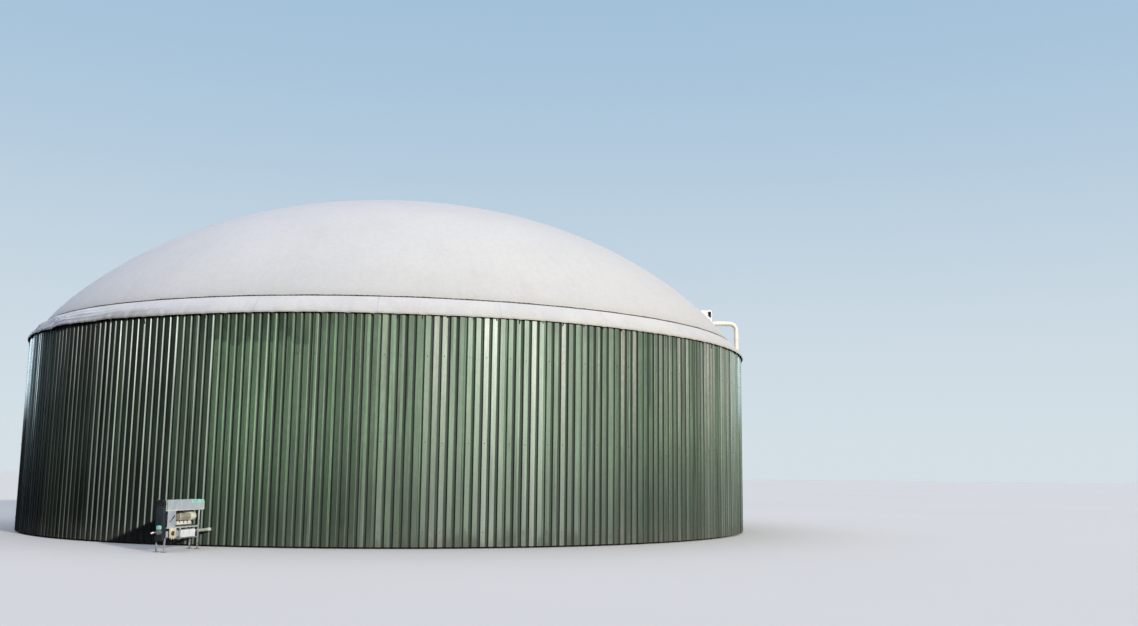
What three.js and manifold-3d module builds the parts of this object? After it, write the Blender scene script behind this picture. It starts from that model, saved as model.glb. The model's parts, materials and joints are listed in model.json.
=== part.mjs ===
// Biogas digester: a round concrete tank in green trapezoidal cladding, under a white membrane dome.
// Millimetres, +Z up. The origin is the centre of the tank floor's underside, at ground level.
// Bearings are degrees around +Z, counted from -Y towards +X.
import * as THREE from 'three';
import { mergeVertices } from 'three/addons/utils/BufferGeometryUtils.js';
import Module from 'manifold-3d';

const wasm = await Module();
wasm.setup();

// Driving dimensions

// The wall is clad with flat sheets, five ribs wide, so every ring here has one facet a sheet.
const SHEETS = 70;
const RIBS_PER_SHEET = 5;
const RIB_PITCH = 207;
const RIB_DEPTH = 35;
const GROOVE_FLOOR = 40;
const GROOVE_MOUTH = 88;
const SHEET_PHASE = -22.2;
const SHEETS_PER_SEGMENT = 7;
const FIT_GAP = 0.3;

// Distances from the tank's axis to the middle of a facet
const SHEET_MIDDLE = 11523;
const BACKING = 6;
const WALL_INNER = 11000;
const WALL_OUTER = 11270;
const CLAMP_INNER = 11090;
const CLAMP_OUTER = 11190;

const FLOOR_THICKNESS = 250;
const WALL_TOP = 5850;
const CLAMP_HEIGHT = 80;
const CLADDING_BOTTOM = 40;
const CLADDING_TOP = 5640;
const RAIL_LEVELS = { lower: 350, middle: 2465, upper: 4540 };
const RAIL_HEIGHT = 60;

// The dome's outer face is z = DOME_FOOT + DOME_RISE * (1 - (r / DOME_RADIUS) ** FULLNESS) ** ROUNDNESS.
const DOME_RADIUS = 11200;
const DOME_FOOT = 6030;
const DOME_RISE = 4608;
const DOME_FULLNESS = 2.305;
const DOME_ROUNDNESS = 0.857;
const DOME_BANDS = 12;
const DOME_SHELL = 25;

const SKIRT_THICKNESS = 12;
const SKIRT_FACE = [
  [11600, 5575],
  [11592, 5610],
  [11512, 5738],
  [11380, 5880],
  [DOME_RADIUS + SKIRT_THICKNESS, 6030],
];
const SEAM_WIDTH = 45;
const SEAM_THICKNESS = 8;

// Support air: an outlet box and an inlet pipe at the dome's edge, on the sheets with these numbers
const OUTLET_SHEET = 19;
const OUTLET_BOX = { inner: 10225, outer: 10607, top: 7290, width: 400 };
const OUTLET_MOUTH = { inner: 10478, outer: 10579, bottom: 7035, top: 7232, chamfer: 60, depth: 60 };
const OUTLET_FLAP_THICKNESS = 15;
const PIPE_SHEET = 21;
const PIPE_RADIUS = 75;
const PIPE_SIDES = 16;
const PIPE_LEVEL = 7130;
const PIPE_DROP = 11705;
const PIPE_END = 430;
const PIPE_BEND = { radius: 240, firstSteps: 4, secondSteps: 6 };
const PIPE_CLIP_LEVELS = { lower: 900, middle: 3000, upper: 5200 };
const PIPE_CLIP = {
  plateHalf: 100, plateRise: 40, plateDepth: 8, armHalf: 20, armRise: 15, wall: 12, ringRise: 25,
};
const PIPE_FLANGE = { radius: 125, thickness: 24 };
const COLLAR = { band: 2, place: 0.55, radius: 150, thickness: 30 };

// Mixer drive: x is the distance out from the cladding's crests, y runs along the wall
const SHAFT_LEVEL = 400;
const FRAME = { inner: 690, outer: 2010, left: -96, right: 128, bar: 25 };
const FRAME_RAIL = { low: 500, high: 530, hanger: 1410 };
const HOOD = { inner: 520, outer: 2035, left: -98, right: 130, corner: 60, sheet: 6 };
const HOOD_LEVELS = { bottom: 885, top: 1120 };
const GUARD = { inner: HOOD.outer + FIT_GAP, outer: 2110, left: -65, right: 130, corner: 60 };
const GUARD_LEVELS = { bottom: 240, top: 1130 };
const MOTOR = { inner: 945, outer: 1500, radius: 92, shaft: 24, level: 740, sides: 24 };
const FAN_COVER = { inner: 755, radius: 100 };
const MOTOR_PLATE = { inner: 815, outer: 1600, left: -93, right: 125, thickness: 38 };
const MOTOR_FEET = { inner: 950, outer: 1495, half: 85, saddle: 12 };
const BEARING_HOUSING = { inner: 800, outer: 1370, half: 100, bottom: 282, top: 450, foot: 8, shoulder: 25 };
const ISOLATOR = { inner: 1665, outer: 1867, bottom: 288, top: 512, depth: 50, corner: 20 };
const SIDE_PANEL = { inner: 1655, outer: 1960, thickness: 5 };
const KNOB = { x: 1810, z: 400, radius: 42, depth: 42 };
const SHAFT_TUBE_RADIUS = 36;
const DRIVE_SHAFT_RADIUS = 30;
const SLEEVE = { radius: 55, length: 30 };
const OUTER_BEARING = { y: 55, radius: 59, outer: 2185, level: 432 };
const BEARING_CAP = { half: 48, inset: 6, height: 80 };

// Materials
function material(color, roughness, metalness = 0) {
  return new THREE.MeshStandardMaterial({ color, roughness, metalness });
}

const CONCRETE = material(0x9c9a92, 0.9);
const CLADDING_GREEN = material(0x3d5a40, 0.45, 0.2);
const MEMBRANE = material(0xd9d9dc, 0.6);
const SKIRT_WHITE = material(0xdedee0, 0.65);
const OUTLET_WHITE = material(0xe8e8e6, 0.5);
const SEAM_GREY = material(0x6f7276, 0.7);
const GALVANISED = material(0xa9adb0, 0.5, 0.7);
const MACHINE_GREY = material(0xb4b8bd, 0.5, 0.4);
const GUARD_BLACK = material(0x2b2f36, 0.6);
const MOTOR_GREY = material(0x8d8f84, 0.55, 0.3);
const CREAM = material(0xe3dfc8, 0.5);
const RUBBER = material(0x1e1f20, 0.85);
const TEAL = material(0x8fd0c2, 0.5);

const digester = new THREE.Group();

function add(name, geometry, finish, group = digester) {
  const mesh = new THREE.Mesh(geometry, finish);
  mesh.name = name;
  group.add(mesh);
}

// Joining and cutting
function solidOf(geometry) {
  const bare = geometry.clone();
  bare.deleteAttribute('normal');
  bare.deleteAttribute('uv');
  const merged = mergeVertices(bare, 0.001);
  return new wasm.Manifold(new wasm.Mesh({
    numProp: 3,
    vertProperties: merged.attributes.position.array,
    triVerts: new Uint32Array(merged.index.array),
  }));
}

function geometryOf(solid) {
  const mesh = solid.getMesh();
  const geometry = new THREE.BufferGeometry();
  geometry.setAttribute('position', new THREE.BufferAttribute(mesh.vertProperties, 3));
  geometry.setIndex(new THREE.BufferAttribute(mesh.triVerts, 1));
  geometry.computeVertexNormals();
  return geometry;
}

function joined(geometries) {
  const solids = geometries.map(solidOf);
  return geometryOf(solids.reduce((whole, solid) => whole.add(solid)));
}

function cut(geometry, cutter) {
  return geometryOf(solidOf(geometry).subtract(solidOf(cutter)));
}

// Basic shapes
const CURVE_STEPS = 4;
const ROD_SIDES = 20;

function box(xs, ys, zs) {
  const geometry = new THREE.BoxGeometry(xs[1] - xs[0], ys[1] - ys[0], zs[1] - zs[0]);
  return geometry.translate((xs[0] + xs[1]) / 2, (ys[0] + ys[1]) / 2, (zs[0] + zs[1]) / 2);
}

function rodAlongX(radius, xs, y, z, sides = ROD_SIDES) {
  const geometry = new THREE.CylinderGeometry(radius, radius, xs[1] - xs[0], sides);
  return geometry.rotateZ(Math.PI / 2).translate((xs[0] + xs[1]) / 2, y, z);
}

function rodAlongY(radius, x, ys, z) {
  const geometry = new THREE.CylinderGeometry(radius, radius, ys[1] - ys[0], ROD_SIDES);
  return geometry.translate(x, (ys[0] + ys[1]) / 2, z);
}

function rodAlongZ(radius, x, zs, sides = ROD_SIDES) {
  const geometry = new THREE.CylinderGeometry(radius, radius, zs[1] - zs[0], sides);
  return geometry.rotateX(Math.PI / 2).translate(x, 0, (zs[0] + zs[1]) / 2);
}

function prism(shape, bottom, top) {
  const geometry = new THREE.ExtrudeGeometry(shape, {
    depth: top - bottom,
    bevelEnabled: false,
    curveSegments: CURVE_STEPS,
  });
  return geometry.translate(0, 0, bottom);
}

// An outline drawn in X and Z, given depth along Y
function sideProfile(shape, left, right) {
  return prism(shape, -right, -left).rotateX(Math.PI / 2);
}

// An outline drawn in Y and Z, given depth along X
function endProfile(shape, inner, outer) {
  return prism(shape, inner, outer).rotateX(Math.PI / 2).rotateZ(Math.PI / 2);
}

// Corner radii run from bottom left round to top left.
function roundedRectangle(low, high, corners) {
  const [bottomLeft, bottomRight, topRight, topLeft] = corners;
  const shape = new THREE.Shape();
  shape.moveTo(low[0] + bottomLeft, low[1]);
  shape.lineTo(high[0] - bottomRight, low[1]);
  shape.quadraticCurveTo(high[0], low[1], high[0], low[1] + bottomRight);
  shape.lineTo(high[0], high[1] - topRight);
  shape.quadraticCurveTo(high[0], high[1], high[0] - topRight, high[1]);
  shape.lineTo(low[0] + topLeft, high[1]);
  shape.quadraticCurveTo(low[0], high[1], low[0], high[1] - topLeft);
  shape.lineTo(low[0], low[1] + bottomLeft);
  shape.quadraticCurveTo(low[0], low[1], low[0] + bottomLeft, low[1]);
  return shape;
}

// The ring of facets
const STEP = (2 * Math.PI) / SHEETS;
const PHASE = THREE.MathUtils.degToRad(SHEET_PHASE);
const CREST_FACE = SHEET_MIDDLE + RIB_DEPTH / 2;
const GROOVE_FACE = SHEET_MIDDLE - RIB_DEPTH / 2;
const CLADDING_BACK = GROOVE_FACE - BACKING;

function cornerRadius(flat) {
  return flat / Math.cos(STEP / 2);
}

// The corner before facet k, moved sideways by shift
function corner(k, flat, shift = 0) {
  const bearing = PHASE + (k - 0.5) * STEP;
  const radius = cornerRadius(flat);
  return new THREE.Vector2(
    radius * Math.sin(bearing) + shift * Math.cos(bearing),
    -radius * Math.cos(bearing) + shift * Math.sin(bearing),
  );
}

// A point on facet k, at a distance along it from its middle
function onFacet(k, flat, along) {
  const bearing = PHASE + k * STEP;
  return new THREE.Vector2(
    flat * Math.sin(bearing) + along * Math.cos(bearing),
    -flat * Math.cos(bearing) + along * Math.sin(bearing),
  );
}

function polygon(flat) {
  return Array.from({ length: SHEETS }, (_, k) => corner(k, flat));
}

function ringPrism(inner, outer, bottom, top) {
  const shape = new THREE.Shape(polygon(outer));
  shape.holes.push(new THREE.Path(polygon(inner)));
  return prism(shape, bottom, top);
}

function segmentCorners(first, flat) {
  return Array.from({ length: SHEETS_PER_SEGMENT + 1 }, (_, i) => {
    const ends = { 0: FIT_GAP / 2, [SHEETS_PER_SEGMENT]: -FIT_GAP / 2 };
    return corner(first + i, flat, ends[i] ?? 0);
  });
}

// A closed profile of [distance to facet, z] points, running up outside and down inside
function turned(profile) {
  const points = profile.map(([flat, z]) => new THREE.Vector2(flat === 0 ? 0 : cornerRadius(flat), z));
  return new THREE.LatheGeometry(points, SHEETS, PHASE - STEP / 2).rotateX(Math.PI / 2);
}

// A group whose +X points out through the middle of sheet k
function facetGroup(k) {
  const group = new THREE.Group();
  group.rotation.z = PHASE + k * STEP - Math.PI / 2;
  digester.add(group);
  return group;
}

// Floor, wall and cladding
function cladOutline(first) {
  const outline = [];
  const outer = segmentCorners(first, CREST_FACE);
  for (let i = 0; i < SHEETS_PER_SEGMENT; i += 1) {
    outline.push(outer[i]);
    for (let rib = 0; rib < RIBS_PER_SHEET; rib += 1) {
      const middle = (rib - (RIBS_PER_SHEET - 1) / 2) * RIB_PITCH;
      outline.push(onFacet(first + i, CREST_FACE, middle - GROOVE_MOUTH / 2));
      outline.push(onFacet(first + i, GROOVE_FACE, middle - GROOVE_FLOOR / 2));
      outline.push(onFacet(first + i, GROOVE_FACE, middle + GROOVE_FLOOR / 2));
      outline.push(onFacet(first + i, CREST_FACE, middle + GROOVE_MOUTH / 2));
    }
  }
  outline.push(outer[SHEETS_PER_SEGMENT]);
  return outline.concat(segmentCorners(first, CLADDING_BACK).reverse());
}

add('tank_floor', prism(new THREE.Shape(polygon(WALL_OUTER)), 0, FLOOR_THICKNESS), CONCRETE);

for (let segment = 0; segment < SHEETS / SHEETS_PER_SEGMENT; segment += 1) {
  const first = segment * SHEETS_PER_SEGMENT;
  const wall = segmentCorners(first, WALL_OUTER).concat(segmentCorners(first, WALL_INNER).reverse());
  const number = segment + 1;
  add(`tank_wall_${number}`, prism(new THREE.Shape(wall), FLOOR_THICKNESS, WALL_TOP), CONCRETE);
  const sheets = prism(new THREE.Shape(cladOutline(first)), CLADDING_BOTTOM, CLADDING_TOP);
  add(`cladding_${number}`, sheets, CLADDING_GREEN);
}

for (const [place, level] of Object.entries(RAIL_LEVELS)) {
  const rail = ringPrism(WALL_OUTER + FIT_GAP, CLADDING_BACK - FIT_GAP, level, level + RAIL_HEIGHT);
  add(`cladding_rail_${place}`, rail, GALVANISED);
}

// Dome, skirt and seam
function domeLevel(radius) {
  const reach = 1 - (radius / DOME_RADIUS) ** DOME_FULLNESS;
  return DOME_FOOT + DOME_RISE * Math.max(reach, 0) ** DOME_ROUNDNESS;
}

// The bands get narrower towards the edge, where the dome is steepest.
const domeFace = Array.from({ length: DOME_BANDS + 1 }, (_, i) => {
  const radius = DOME_RADIUS * Math.sin((Math.PI / 2) * (1 - i / DOME_BANDS));
  return i === DOME_BANDS ? [0, DOME_FOOT + DOME_RISE] : [radius, domeLevel(radius)];
});

function domeShell() {
  const inward = (DOME_RADIUS - DOME_SHELL) / DOME_RADIUS;
  const downward = (DOME_RISE - DOME_SHELL) / DOME_RISE;
  const foot = WALL_TOP + CLAMP_HEIGHT;
  const inside = domeFace.map(([r, z]) => [r * inward, DOME_FOOT + (z - DOME_FOOT) * downward]);
  return turned([
    ...inside.reverse(),
    [DOME_RADIUS * inward, foot],
    [DOME_RADIUS, foot],
    ...domeFace,
  ]);
}

function skirt() {
  const inside = SKIRT_FACE.map(([r, z]) => [r - SKIRT_THICKNESS + FIT_GAP, z - FIT_GAP]).reverse();
  return turned([...SKIRT_FACE, ...inside, SKIRT_FACE[0]]);
}

// The welded seam lies on the dome's lowest band, just above the skirt.
function seamStrip() {
  const [foot, next] = domeFace.map(([r, z]) => new THREE.Vector2(r, z));
  const along = next.clone().sub(foot).normalize();
  const out = new THREE.Vector2(along.y, -along.x);
  const place = (distance, lift) => (
    foot.clone().addScaledVector(along, distance).addScaledVector(out, lift)
  );
  const start = SKIRT_THICKNESS;
  const section = [
    place(start, FIT_GAP + SEAM_THICKNESS),
    place(start + SEAM_WIDTH, FIT_GAP + SEAM_THICKNESS),
    place(start + SEAM_WIDTH, FIT_GAP),
    place(start, FIT_GAP),
  ].map((point) => point.toArray());
  return turned([...section, section[0]]);
}

const clampRail = ringPrism(CLAMP_INNER, CLAMP_OUTER, WALL_TOP, WALL_TOP + CLAMP_HEIGHT - FIT_GAP);
add('clamp_rail', clampRail, GALVANISED);
add('membrane_dome', domeShell(), MEMBRANE);
add('membrane_skirt', skirt(), SKIRT_WHITE);
add('seam_strip', seamStrip(), SEAM_GREY);

// Air outlet box, standing on the dome's slope
function outletBox() {
  const { inner, outer, top, width } = OUTLET_BOX;
  const edge = (r) => {
    const i = domeFace.findIndex(([radius]) => radius <= r);
    const [r1, z1] = domeFace[i];
    const [r0, z0] = domeFace[i - 1];
    return z1 + ((r - r1) / (r0 - r1)) * (z0 - z1) + 2 * FIT_GAP;
  };
  const between = domeFace.filter(([r]) => r > inner && r < outer).map(([r]) => r);
  const foot = [outer, ...between, inner].map((r) => new THREE.Vector2(r, edge(r)));
  const outline = [new THREE.Vector2(inner, top), new THREE.Vector2(outer, top), ...foot];
  return sideProfile(new THREE.Shape(outline), -width / 2, width / 2);
}

function outletMouth(inset, depth) {
  const { inner, outer, bottom, top, chamfer } = OUTLET_MOUTH;
  const shape = new THREE.Shape([
    new THREE.Vector2(inner + inset, top - inset),
    new THREE.Vector2(inner + inset, bottom + chamfer),
    new THREE.Vector2(inner + chamfer, bottom + inset),
    new THREE.Vector2(outer - inset, bottom + inset),
    new THREE.Vector2(outer - inset, top - inset),
  ]);
  const face = -OUTLET_BOX.width / 2;
  return sideProfile(shape, face + depth[0], face + depth[1]);
}

const outletGroup = facetGroup(OUTLET_SHEET);
const mouthCutter = outletMouth(0, [-1, OUTLET_MOUTH.depth]);
add('air_outlet_box', cut(outletBox(), mouthCutter), OUTLET_WHITE, outletGroup);
const flapDepth = [OUTLET_MOUTH.depth - OUTLET_FLAP_THICKNESS, OUTLET_MOUTH.depth - FIT_GAP];
add('air_outlet_flap', outletMouth(FIT_GAP, flapDepth), RUBBER, outletGroup);

// Air inlet pipe, from its collar on the dome, over the skirt and down the wall
class PipeRoute extends THREE.Curve {
  constructor(points) {
    super();
    this.points = points;
  }

  getPoint(t) {
    const place = t * (this.points.length - 1);
    const i = Math.min(Math.max(Math.floor(place), 0), this.points.length - 2);
    return this.points[i].clone().lerp(this.points[i + 1], place - i);
  }

  getUtoTmapping(u) {
    return u;
  }
}

function bend(centre, from, to, steps) {
  const { radius } = PIPE_BEND;
  return Array.from({ length: steps + 1 }, (_, i) => {
    const angle = from + ((to - from) * i) / steps;
    return new THREE.Vector3(centre.x + radius * Math.cos(angle), 0, centre.y + radius * Math.sin(angle));
  });
}

// The pipe leaves the dome square to its band, so the collar's bearing gives the first bend.
const band = domeFace.slice(COLLAR.band, COLLAR.band + 2);
const [bandLow, bandHigh] = band.map(([r, z]) => new THREE.Vector2(r, z));
const collarMiddle = bandLow.clone().lerp(bandHigh, COLLAR.place);
const bandAlong = bandHigh.clone().sub(bandLow).normalize();
const bandOut = new THREE.Vector2(bandAlong.y, -bandAlong.x);
const bandTilt = Math.atan2(bandOut.y, bandOut.x);

function airPipe() {
  const { radius, firstSteps, secondSteps } = PIPE_BEND;
  const start = collarMiddle.clone().addScaledVector(bandOut, COLLAR.thickness + 2 * FIT_GAP);
  const bendRise = radius * (1 - Math.cos(bandTilt));
  const straight = (PIPE_LEVEL - bendRise - start.y) / Math.sin(bandTilt);
  const top = start.clone().addScaledVector(bandOut, straight);
  const firstCentre = new THREE.Vector2(top.x + radius * Math.sin(bandTilt), PIPE_LEVEL - radius);
  const secondCentre = new THREE.Vector2(PIPE_DROP - radius, PIPE_LEVEL - radius);
  const route = new PipeRoute([
    new THREE.Vector3(start.x, 0, start.y),
    ...bend(firstCentre, Math.PI / 2 + bandTilt, Math.PI / 2, firstSteps),
    ...bend(secondCentre, Math.PI / 2, 0, secondSteps),
    new THREE.Vector3(PIPE_DROP, 0, PIPE_END),
  ]);
  const section = new THREE.Shape().absarc(0, 0, PIPE_RADIUS, 0, 2 * Math.PI);
  return new THREE.ExtrudeGeometry(section, {
    extrudePath: route,
    steps: route.points.length - 1,
    curveSegments: PIPE_SIDES,
  });
}

function pipeCollar() {
  const collar = new THREE.CylinderGeometry(COLLAR.radius, COLLAR.radius, COLLAR.thickness, ROD_SIDES);
  const centre = collarMiddle.clone().addScaledVector(bandOut, COLLAR.thickness / 2 + FIT_GAP);
  collar.rotateZ(-Math.PI / 2).rotateY(-bandTilt);
  return collar.translate(centre.x, 0, centre.y);
}

// A plate on two crests, an arm and a ring round the pipe
function pipeClip(level) {
  const { plateHalf, plateRise, plateDepth, armHalf, armRise, wall, ringRise } = PIPE_CLIP;
  const around = (rise) => [level - rise, level + rise];
  const plateEnds = [CREST_FACE + FIT_GAP, CREST_FACE + plateDepth];
  const plate = box(plateEnds, [-plateHalf, plateHalf], around(plateRise));
  const arm = box([plateEnds[0], PIPE_DROP], [-armHalf, armHalf], around(armRise));
  const ring = rodAlongZ(PIPE_RADIUS + wall, PIPE_DROP, around(ringRise), PIPE_SIDES);
  const bore = rodAlongZ(PIPE_RADIUS + 2 * FIT_GAP, PIPE_DROP, around(plateRise), 2 * PIPE_SIDES);
  return cut(joined([plate, arm, ring]), bore);
}

const pipeGroup = facetGroup(PIPE_SHEET);
add('air_pipe', airPipe(), CREAM, pipeGroup);
add('air_pipe_collar', pipeCollar(), GALVANISED, pipeGroup);
for (const [place, level] of Object.entries(PIPE_CLIP_LEVELS)) {
  add(`air_pipe_clip_${place}`, pipeClip(level), GALVANISED, pipeGroup);
}
const flangeLevels = [PIPE_END - FIT_GAP - PIPE_FLANGE.thickness, PIPE_END - FIT_GAP];
add('air_pipe_flange', rodAlongZ(PIPE_FLANGE.radius, PIPE_DROP, flangeLevels), GALVANISED, pipeGroup);

// Mixer drive
// Four posts, two rails that carry the motor plate, and hangers with a cradle for the bearing housing
function mixerFrame() {
  const { inner, outer, left, right, bar } = FRAME;
  const { low, high, hanger } = FRAME_RAIL;
  const cradle = [BEARING_HOUSING.bottom - FIT_GAP - bar, BEARING_HOUSING.bottom - FIT_GAP];
  const width = [left, right];
  const parts = [];
  for (const side of [[left, left + bar], [right - bar, right]]) {
    for (const x of [inner, outer - bar]) {
      parts.push(box([x, x + bar], side, [0, HOOD_LEVELS.bottom - FIT_GAP]));
    }
    parts.push(box([inner, outer], side, [low, high]));
    parts.push(box([hanger, hanger + bar], side, [cradle[0], high]));
  }
  for (const x of [inner, hanger, outer - bar]) {
    parts.push(box([x, x + bar], width, [low, high]));
  }
  for (const x of [inner, hanger]) {
    parts.push(box([x, x + bar], width, cradle));
  }
  for (const y of [-2 * bar, bar]) {
    parts.push(box([inner, hanger + bar], [y, y + bar], cradle));
  }
  return joined(parts);
}

function mixerHood() {
  const { inner, outer, left, right, corner: round, sheet } = HOOD;
  const { bottom, top } = HOOD_LEVELS;
  const shell = roundedRectangle([inner, bottom], [outer, top], [0, 0, 0, round]);
  const low = [inner + sheet, bottom - sheet];
  const high = [outer - sheet, top - sheet];
  const inside = roundedRectangle(low, high, [0, 0, 0, round - sheet]);
  return cut(sideProfile(shell, left, right), sideProfile(inside, left + sheet, right - sheet));
}

function beltGuard() {
  const { inner, outer, left, right, corner: round } = GUARD;
  const { bottom, top } = GUARD_LEVELS;
  return endProfile(roundedRectangle([left, bottom], [right, top], [0, 0, round, round]), inner, outer);
}

function motorFeet(plateTop) {
  const { inner, outer, half, saddle } = MOTOR_FEET;
  const top = MOTOR.level - MOTOR.radius + saddle;
  const block = box([inner, outer], [-half, half], [plateTop + FIT_GAP, top]);
  return cut(block, motorRod(MOTOR.radius + FIT_GAP, [FAN_COVER.inner, MOTOR_PLATE.outer]));
}

function sideIsolator() {
  const { inner, outer, bottom, top, depth, corner: round } = ISOLATOR;
  const face = FRAME.right + FIT_GAP;
  const body = roundedRectangle([inner, bottom], [outer, top], [round, round, round, round]);
  return sideProfile(body, face, face + depth);
}

const mixer = new THREE.Group();
mixer.position.x = CREST_FACE;
facetGroup(0).add(mixer);

const plateLevels = [FRAME_RAIL.high + FIT_GAP, FRAME_RAIL.high + MOTOR_PLATE.thickness];
const plateWidth = [MOTOR_PLATE.left, MOTOR_PLATE.right];
const fanCoverEnds = [FAN_COVER.inner, MOTOR.inner - FIT_GAP];
const tubeEnds = [SLEEVE.length, BEARING_HOUSING.inner - FIT_GAP];
const sleeveEnds = [FIT_GAP, SLEEVE.length - FIT_GAP];
const shaftEnds = [BEARING_HOUSING.outer + FIT_GAP, GUARD.inner - FIT_GAP];
const shaftReach = [MOTOR.inner, GUARD.inner - FIT_GAP];
const panelFace = FRAME.right + FIT_GAP;
const panelDepth = [panelFace, panelFace + SIDE_PANEL.thickness];
const panelLevels = [ISOLATOR.top + FIT_GAP, HOOD_LEVELS.bottom - FIT_GAP];
const knobFace = panelFace + ISOLATOR.depth + FIT_GAP;
const bearingEnds = [GUARD.outer + FIT_GAP, OUTER_BEARING.outer];
const capFoot = OUTER_BEARING.level + OUTER_BEARING.radius + FIT_GAP;

function motorRod(radius, ends) {
  return rodAlongX(radius, ends, 0, MOTOR.level, MOTOR.sides);
}

function bearingHousing() {
  const { inner, outer, half, bottom, top, foot, shoulder } = BEARING_HOUSING;
  const outline = roundedRectangle([-half, bottom], [half, top], [foot, foot, shoulder, shoulder]);
  return endProfile(outline, inner, outer);
}

function motor() {
  return joined([motorRod(MOTOR.radius, [MOTOR.inner, MOTOR.outer]), motorRod(MOTOR.shaft, shaftReach)]);
}

function bearingCap() {
  const { half, inset, height } = BEARING_CAP;
  const ends = [bearingEnds[0] + inset, bearingEnds[1] - inset];
  return box(ends, [OUTER_BEARING.y - half, OUTER_BEARING.y + half], [capFoot, capFoot + height]);
}

const mixerPieces = [
  ['mixer_frame', mixerFrame(), GALVANISED],
  ['mixer_hood', mixerHood(), MACHINE_GREY],
  ['mixer_belt_guard', beltGuard(), GUARD_BLACK],
  ['mixer_motor', motor(), MOTOR_GREY],
  ['mixer_motor_fan_cover', motorRod(FAN_COVER.radius, fanCoverEnds), CREAM],
  ['mixer_motor_feet', motorFeet(plateLevels[1]), CREAM],
  ['mixer_motor_plate', box([MOTOR_PLATE.inner, MOTOR_PLATE.outer], plateWidth, plateLevels), GALVANISED],
  ['mixer_bearing_housing', bearingHousing(), MACHINE_GREY],
  ['mixer_shaft_tube', rodAlongX(SHAFT_TUBE_RADIUS, tubeEnds, 0, SHAFT_LEVEL), GALVANISED],
  ['mixer_wall_sleeve', rodAlongX(SLEEVE.radius, sleeveEnds, 0, SHAFT_LEVEL), RUBBER],
  ['mixer_drive_shaft', rodAlongX(DRIVE_SHAFT_RADIUS, shaftEnds, 0, SHAFT_LEVEL), GALVANISED],
  ['mixer_side_panel', box([SIDE_PANEL.inner, SIDE_PANEL.outer], panelDepth, panelLevels), MACHINE_GREY],
  ['isolator_box', sideIsolator(), CREAM],
  ['isolator_knob', rodAlongY(KNOB.radius, KNOB.x, [knobFace, knobFace + KNOB.depth], KNOB.z), RUBBER],
  ['mixer_outer_bearing',
    rodAlongX(OUTER_BEARING.radius, bearingEnds, OUTER_BEARING.y, OUTER_BEARING.level), MACHINE_GREY],
  ['mixer_bearing_cap', bearingCap(), TEAL],
];
for (const [name, geometry, finish] of mixerPieces) {
  add(name, geometry, finish, mixer);
}

export default digester;
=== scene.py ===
# Biogas digester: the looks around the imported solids, in metres, +Z up.
# Bearings are degrees around +Z, counted from -Y towards +X.
import functools
import json
import math

import bmesh
import bpy
import numpy as np
from mathutils import Matrix, Vector

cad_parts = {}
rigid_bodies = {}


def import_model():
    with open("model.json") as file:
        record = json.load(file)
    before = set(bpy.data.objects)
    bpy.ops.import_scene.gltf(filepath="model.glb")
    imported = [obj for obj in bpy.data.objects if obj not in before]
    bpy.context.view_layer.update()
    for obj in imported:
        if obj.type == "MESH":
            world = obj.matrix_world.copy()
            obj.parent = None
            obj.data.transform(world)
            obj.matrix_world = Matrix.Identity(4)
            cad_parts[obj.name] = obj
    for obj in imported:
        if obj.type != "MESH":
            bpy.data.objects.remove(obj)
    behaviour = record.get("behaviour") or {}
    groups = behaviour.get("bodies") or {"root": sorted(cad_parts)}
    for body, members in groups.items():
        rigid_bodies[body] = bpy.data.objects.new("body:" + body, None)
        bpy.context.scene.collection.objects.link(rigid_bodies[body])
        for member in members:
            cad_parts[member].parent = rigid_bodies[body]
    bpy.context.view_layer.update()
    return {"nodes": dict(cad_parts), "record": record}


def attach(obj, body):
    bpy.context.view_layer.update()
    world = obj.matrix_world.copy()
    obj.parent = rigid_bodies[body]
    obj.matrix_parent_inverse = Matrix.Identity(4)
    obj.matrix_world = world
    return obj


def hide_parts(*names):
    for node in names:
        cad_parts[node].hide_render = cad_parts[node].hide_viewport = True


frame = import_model()

# Wall cladding. Tones run from -1, painted shade on the side away from the sun, to 1, painted sunlight, and
# are given by bearing.
# Pairs of limits say where a look starts and where it is full, and a side has four bearings in degrees.

TURN = 2 * math.pi
SEGMENTS = 10
SHEETS = 70
RIBS_PER_SHEET = 5
RIBS = SHEETS * RIBS_PER_SHEET
RIB_DEPTH = 0.035
GROOVE_FLOOR = 0.040
GROOVE_MOUTH = 0.088
BEND = 0.0035
CREST_FACE = 11.5405
RIB_PITCH = 2 * CREST_FACE * math.tan(math.pi / SHEETS) / RIBS_PER_SHEET
CLADDING_BOTTOM = 0.040
CLADDING_TOP = 5.640
SHEET_THICKNESS = 0.0012
SHEET_ROWS = 12
LAP_BEARING = -18.084
LAP_WIDTH = 0.016
LAP_LIFT = 0.0022
CREST_TWIST = math.radians(2.4)
CREST_FADE = 0.12
SHEET_SUN_SHADE_TONES = ((-75, -1.0), (-31, -1.0), (-26, -0.35), (-21, 0.60), (-15, 0.45), (-9, 0.32), (60, 0.45),
               (150, 0.25), (215, 0.10), (255, 0.05), (289, -1.0))
TONE_SPREAD = 0.07
GROOVE_SHADE = (11.538, 11.526)
FLANK_DIRT = (11.524, 11.514)
FLANK_FOOT = (11.512, 11.519)
FLANK_EDGE = (11.5375, 11.5395)
PAINT_IOR = 1.7
PAINT_TINT = (0.83, 1.0, 0.90)
FRONT = (1.5, -3.0)
SUNNY_SIDE = (-6.0, 6.0, 45.0, 75.0)
STAINED_SIDE = (-26.0, -23.5, -12.0, -9.5)
STAIN_FOOT = (4.80, 4.92)
RAIL_CLEARANCE = 0.004
SCREW_LEVELS = (0.38, 2.495, 4.57)
SCREWED_CRESTS = (0, 2)
SCREW_SIZE = 0.0125

# Membranes

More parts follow.
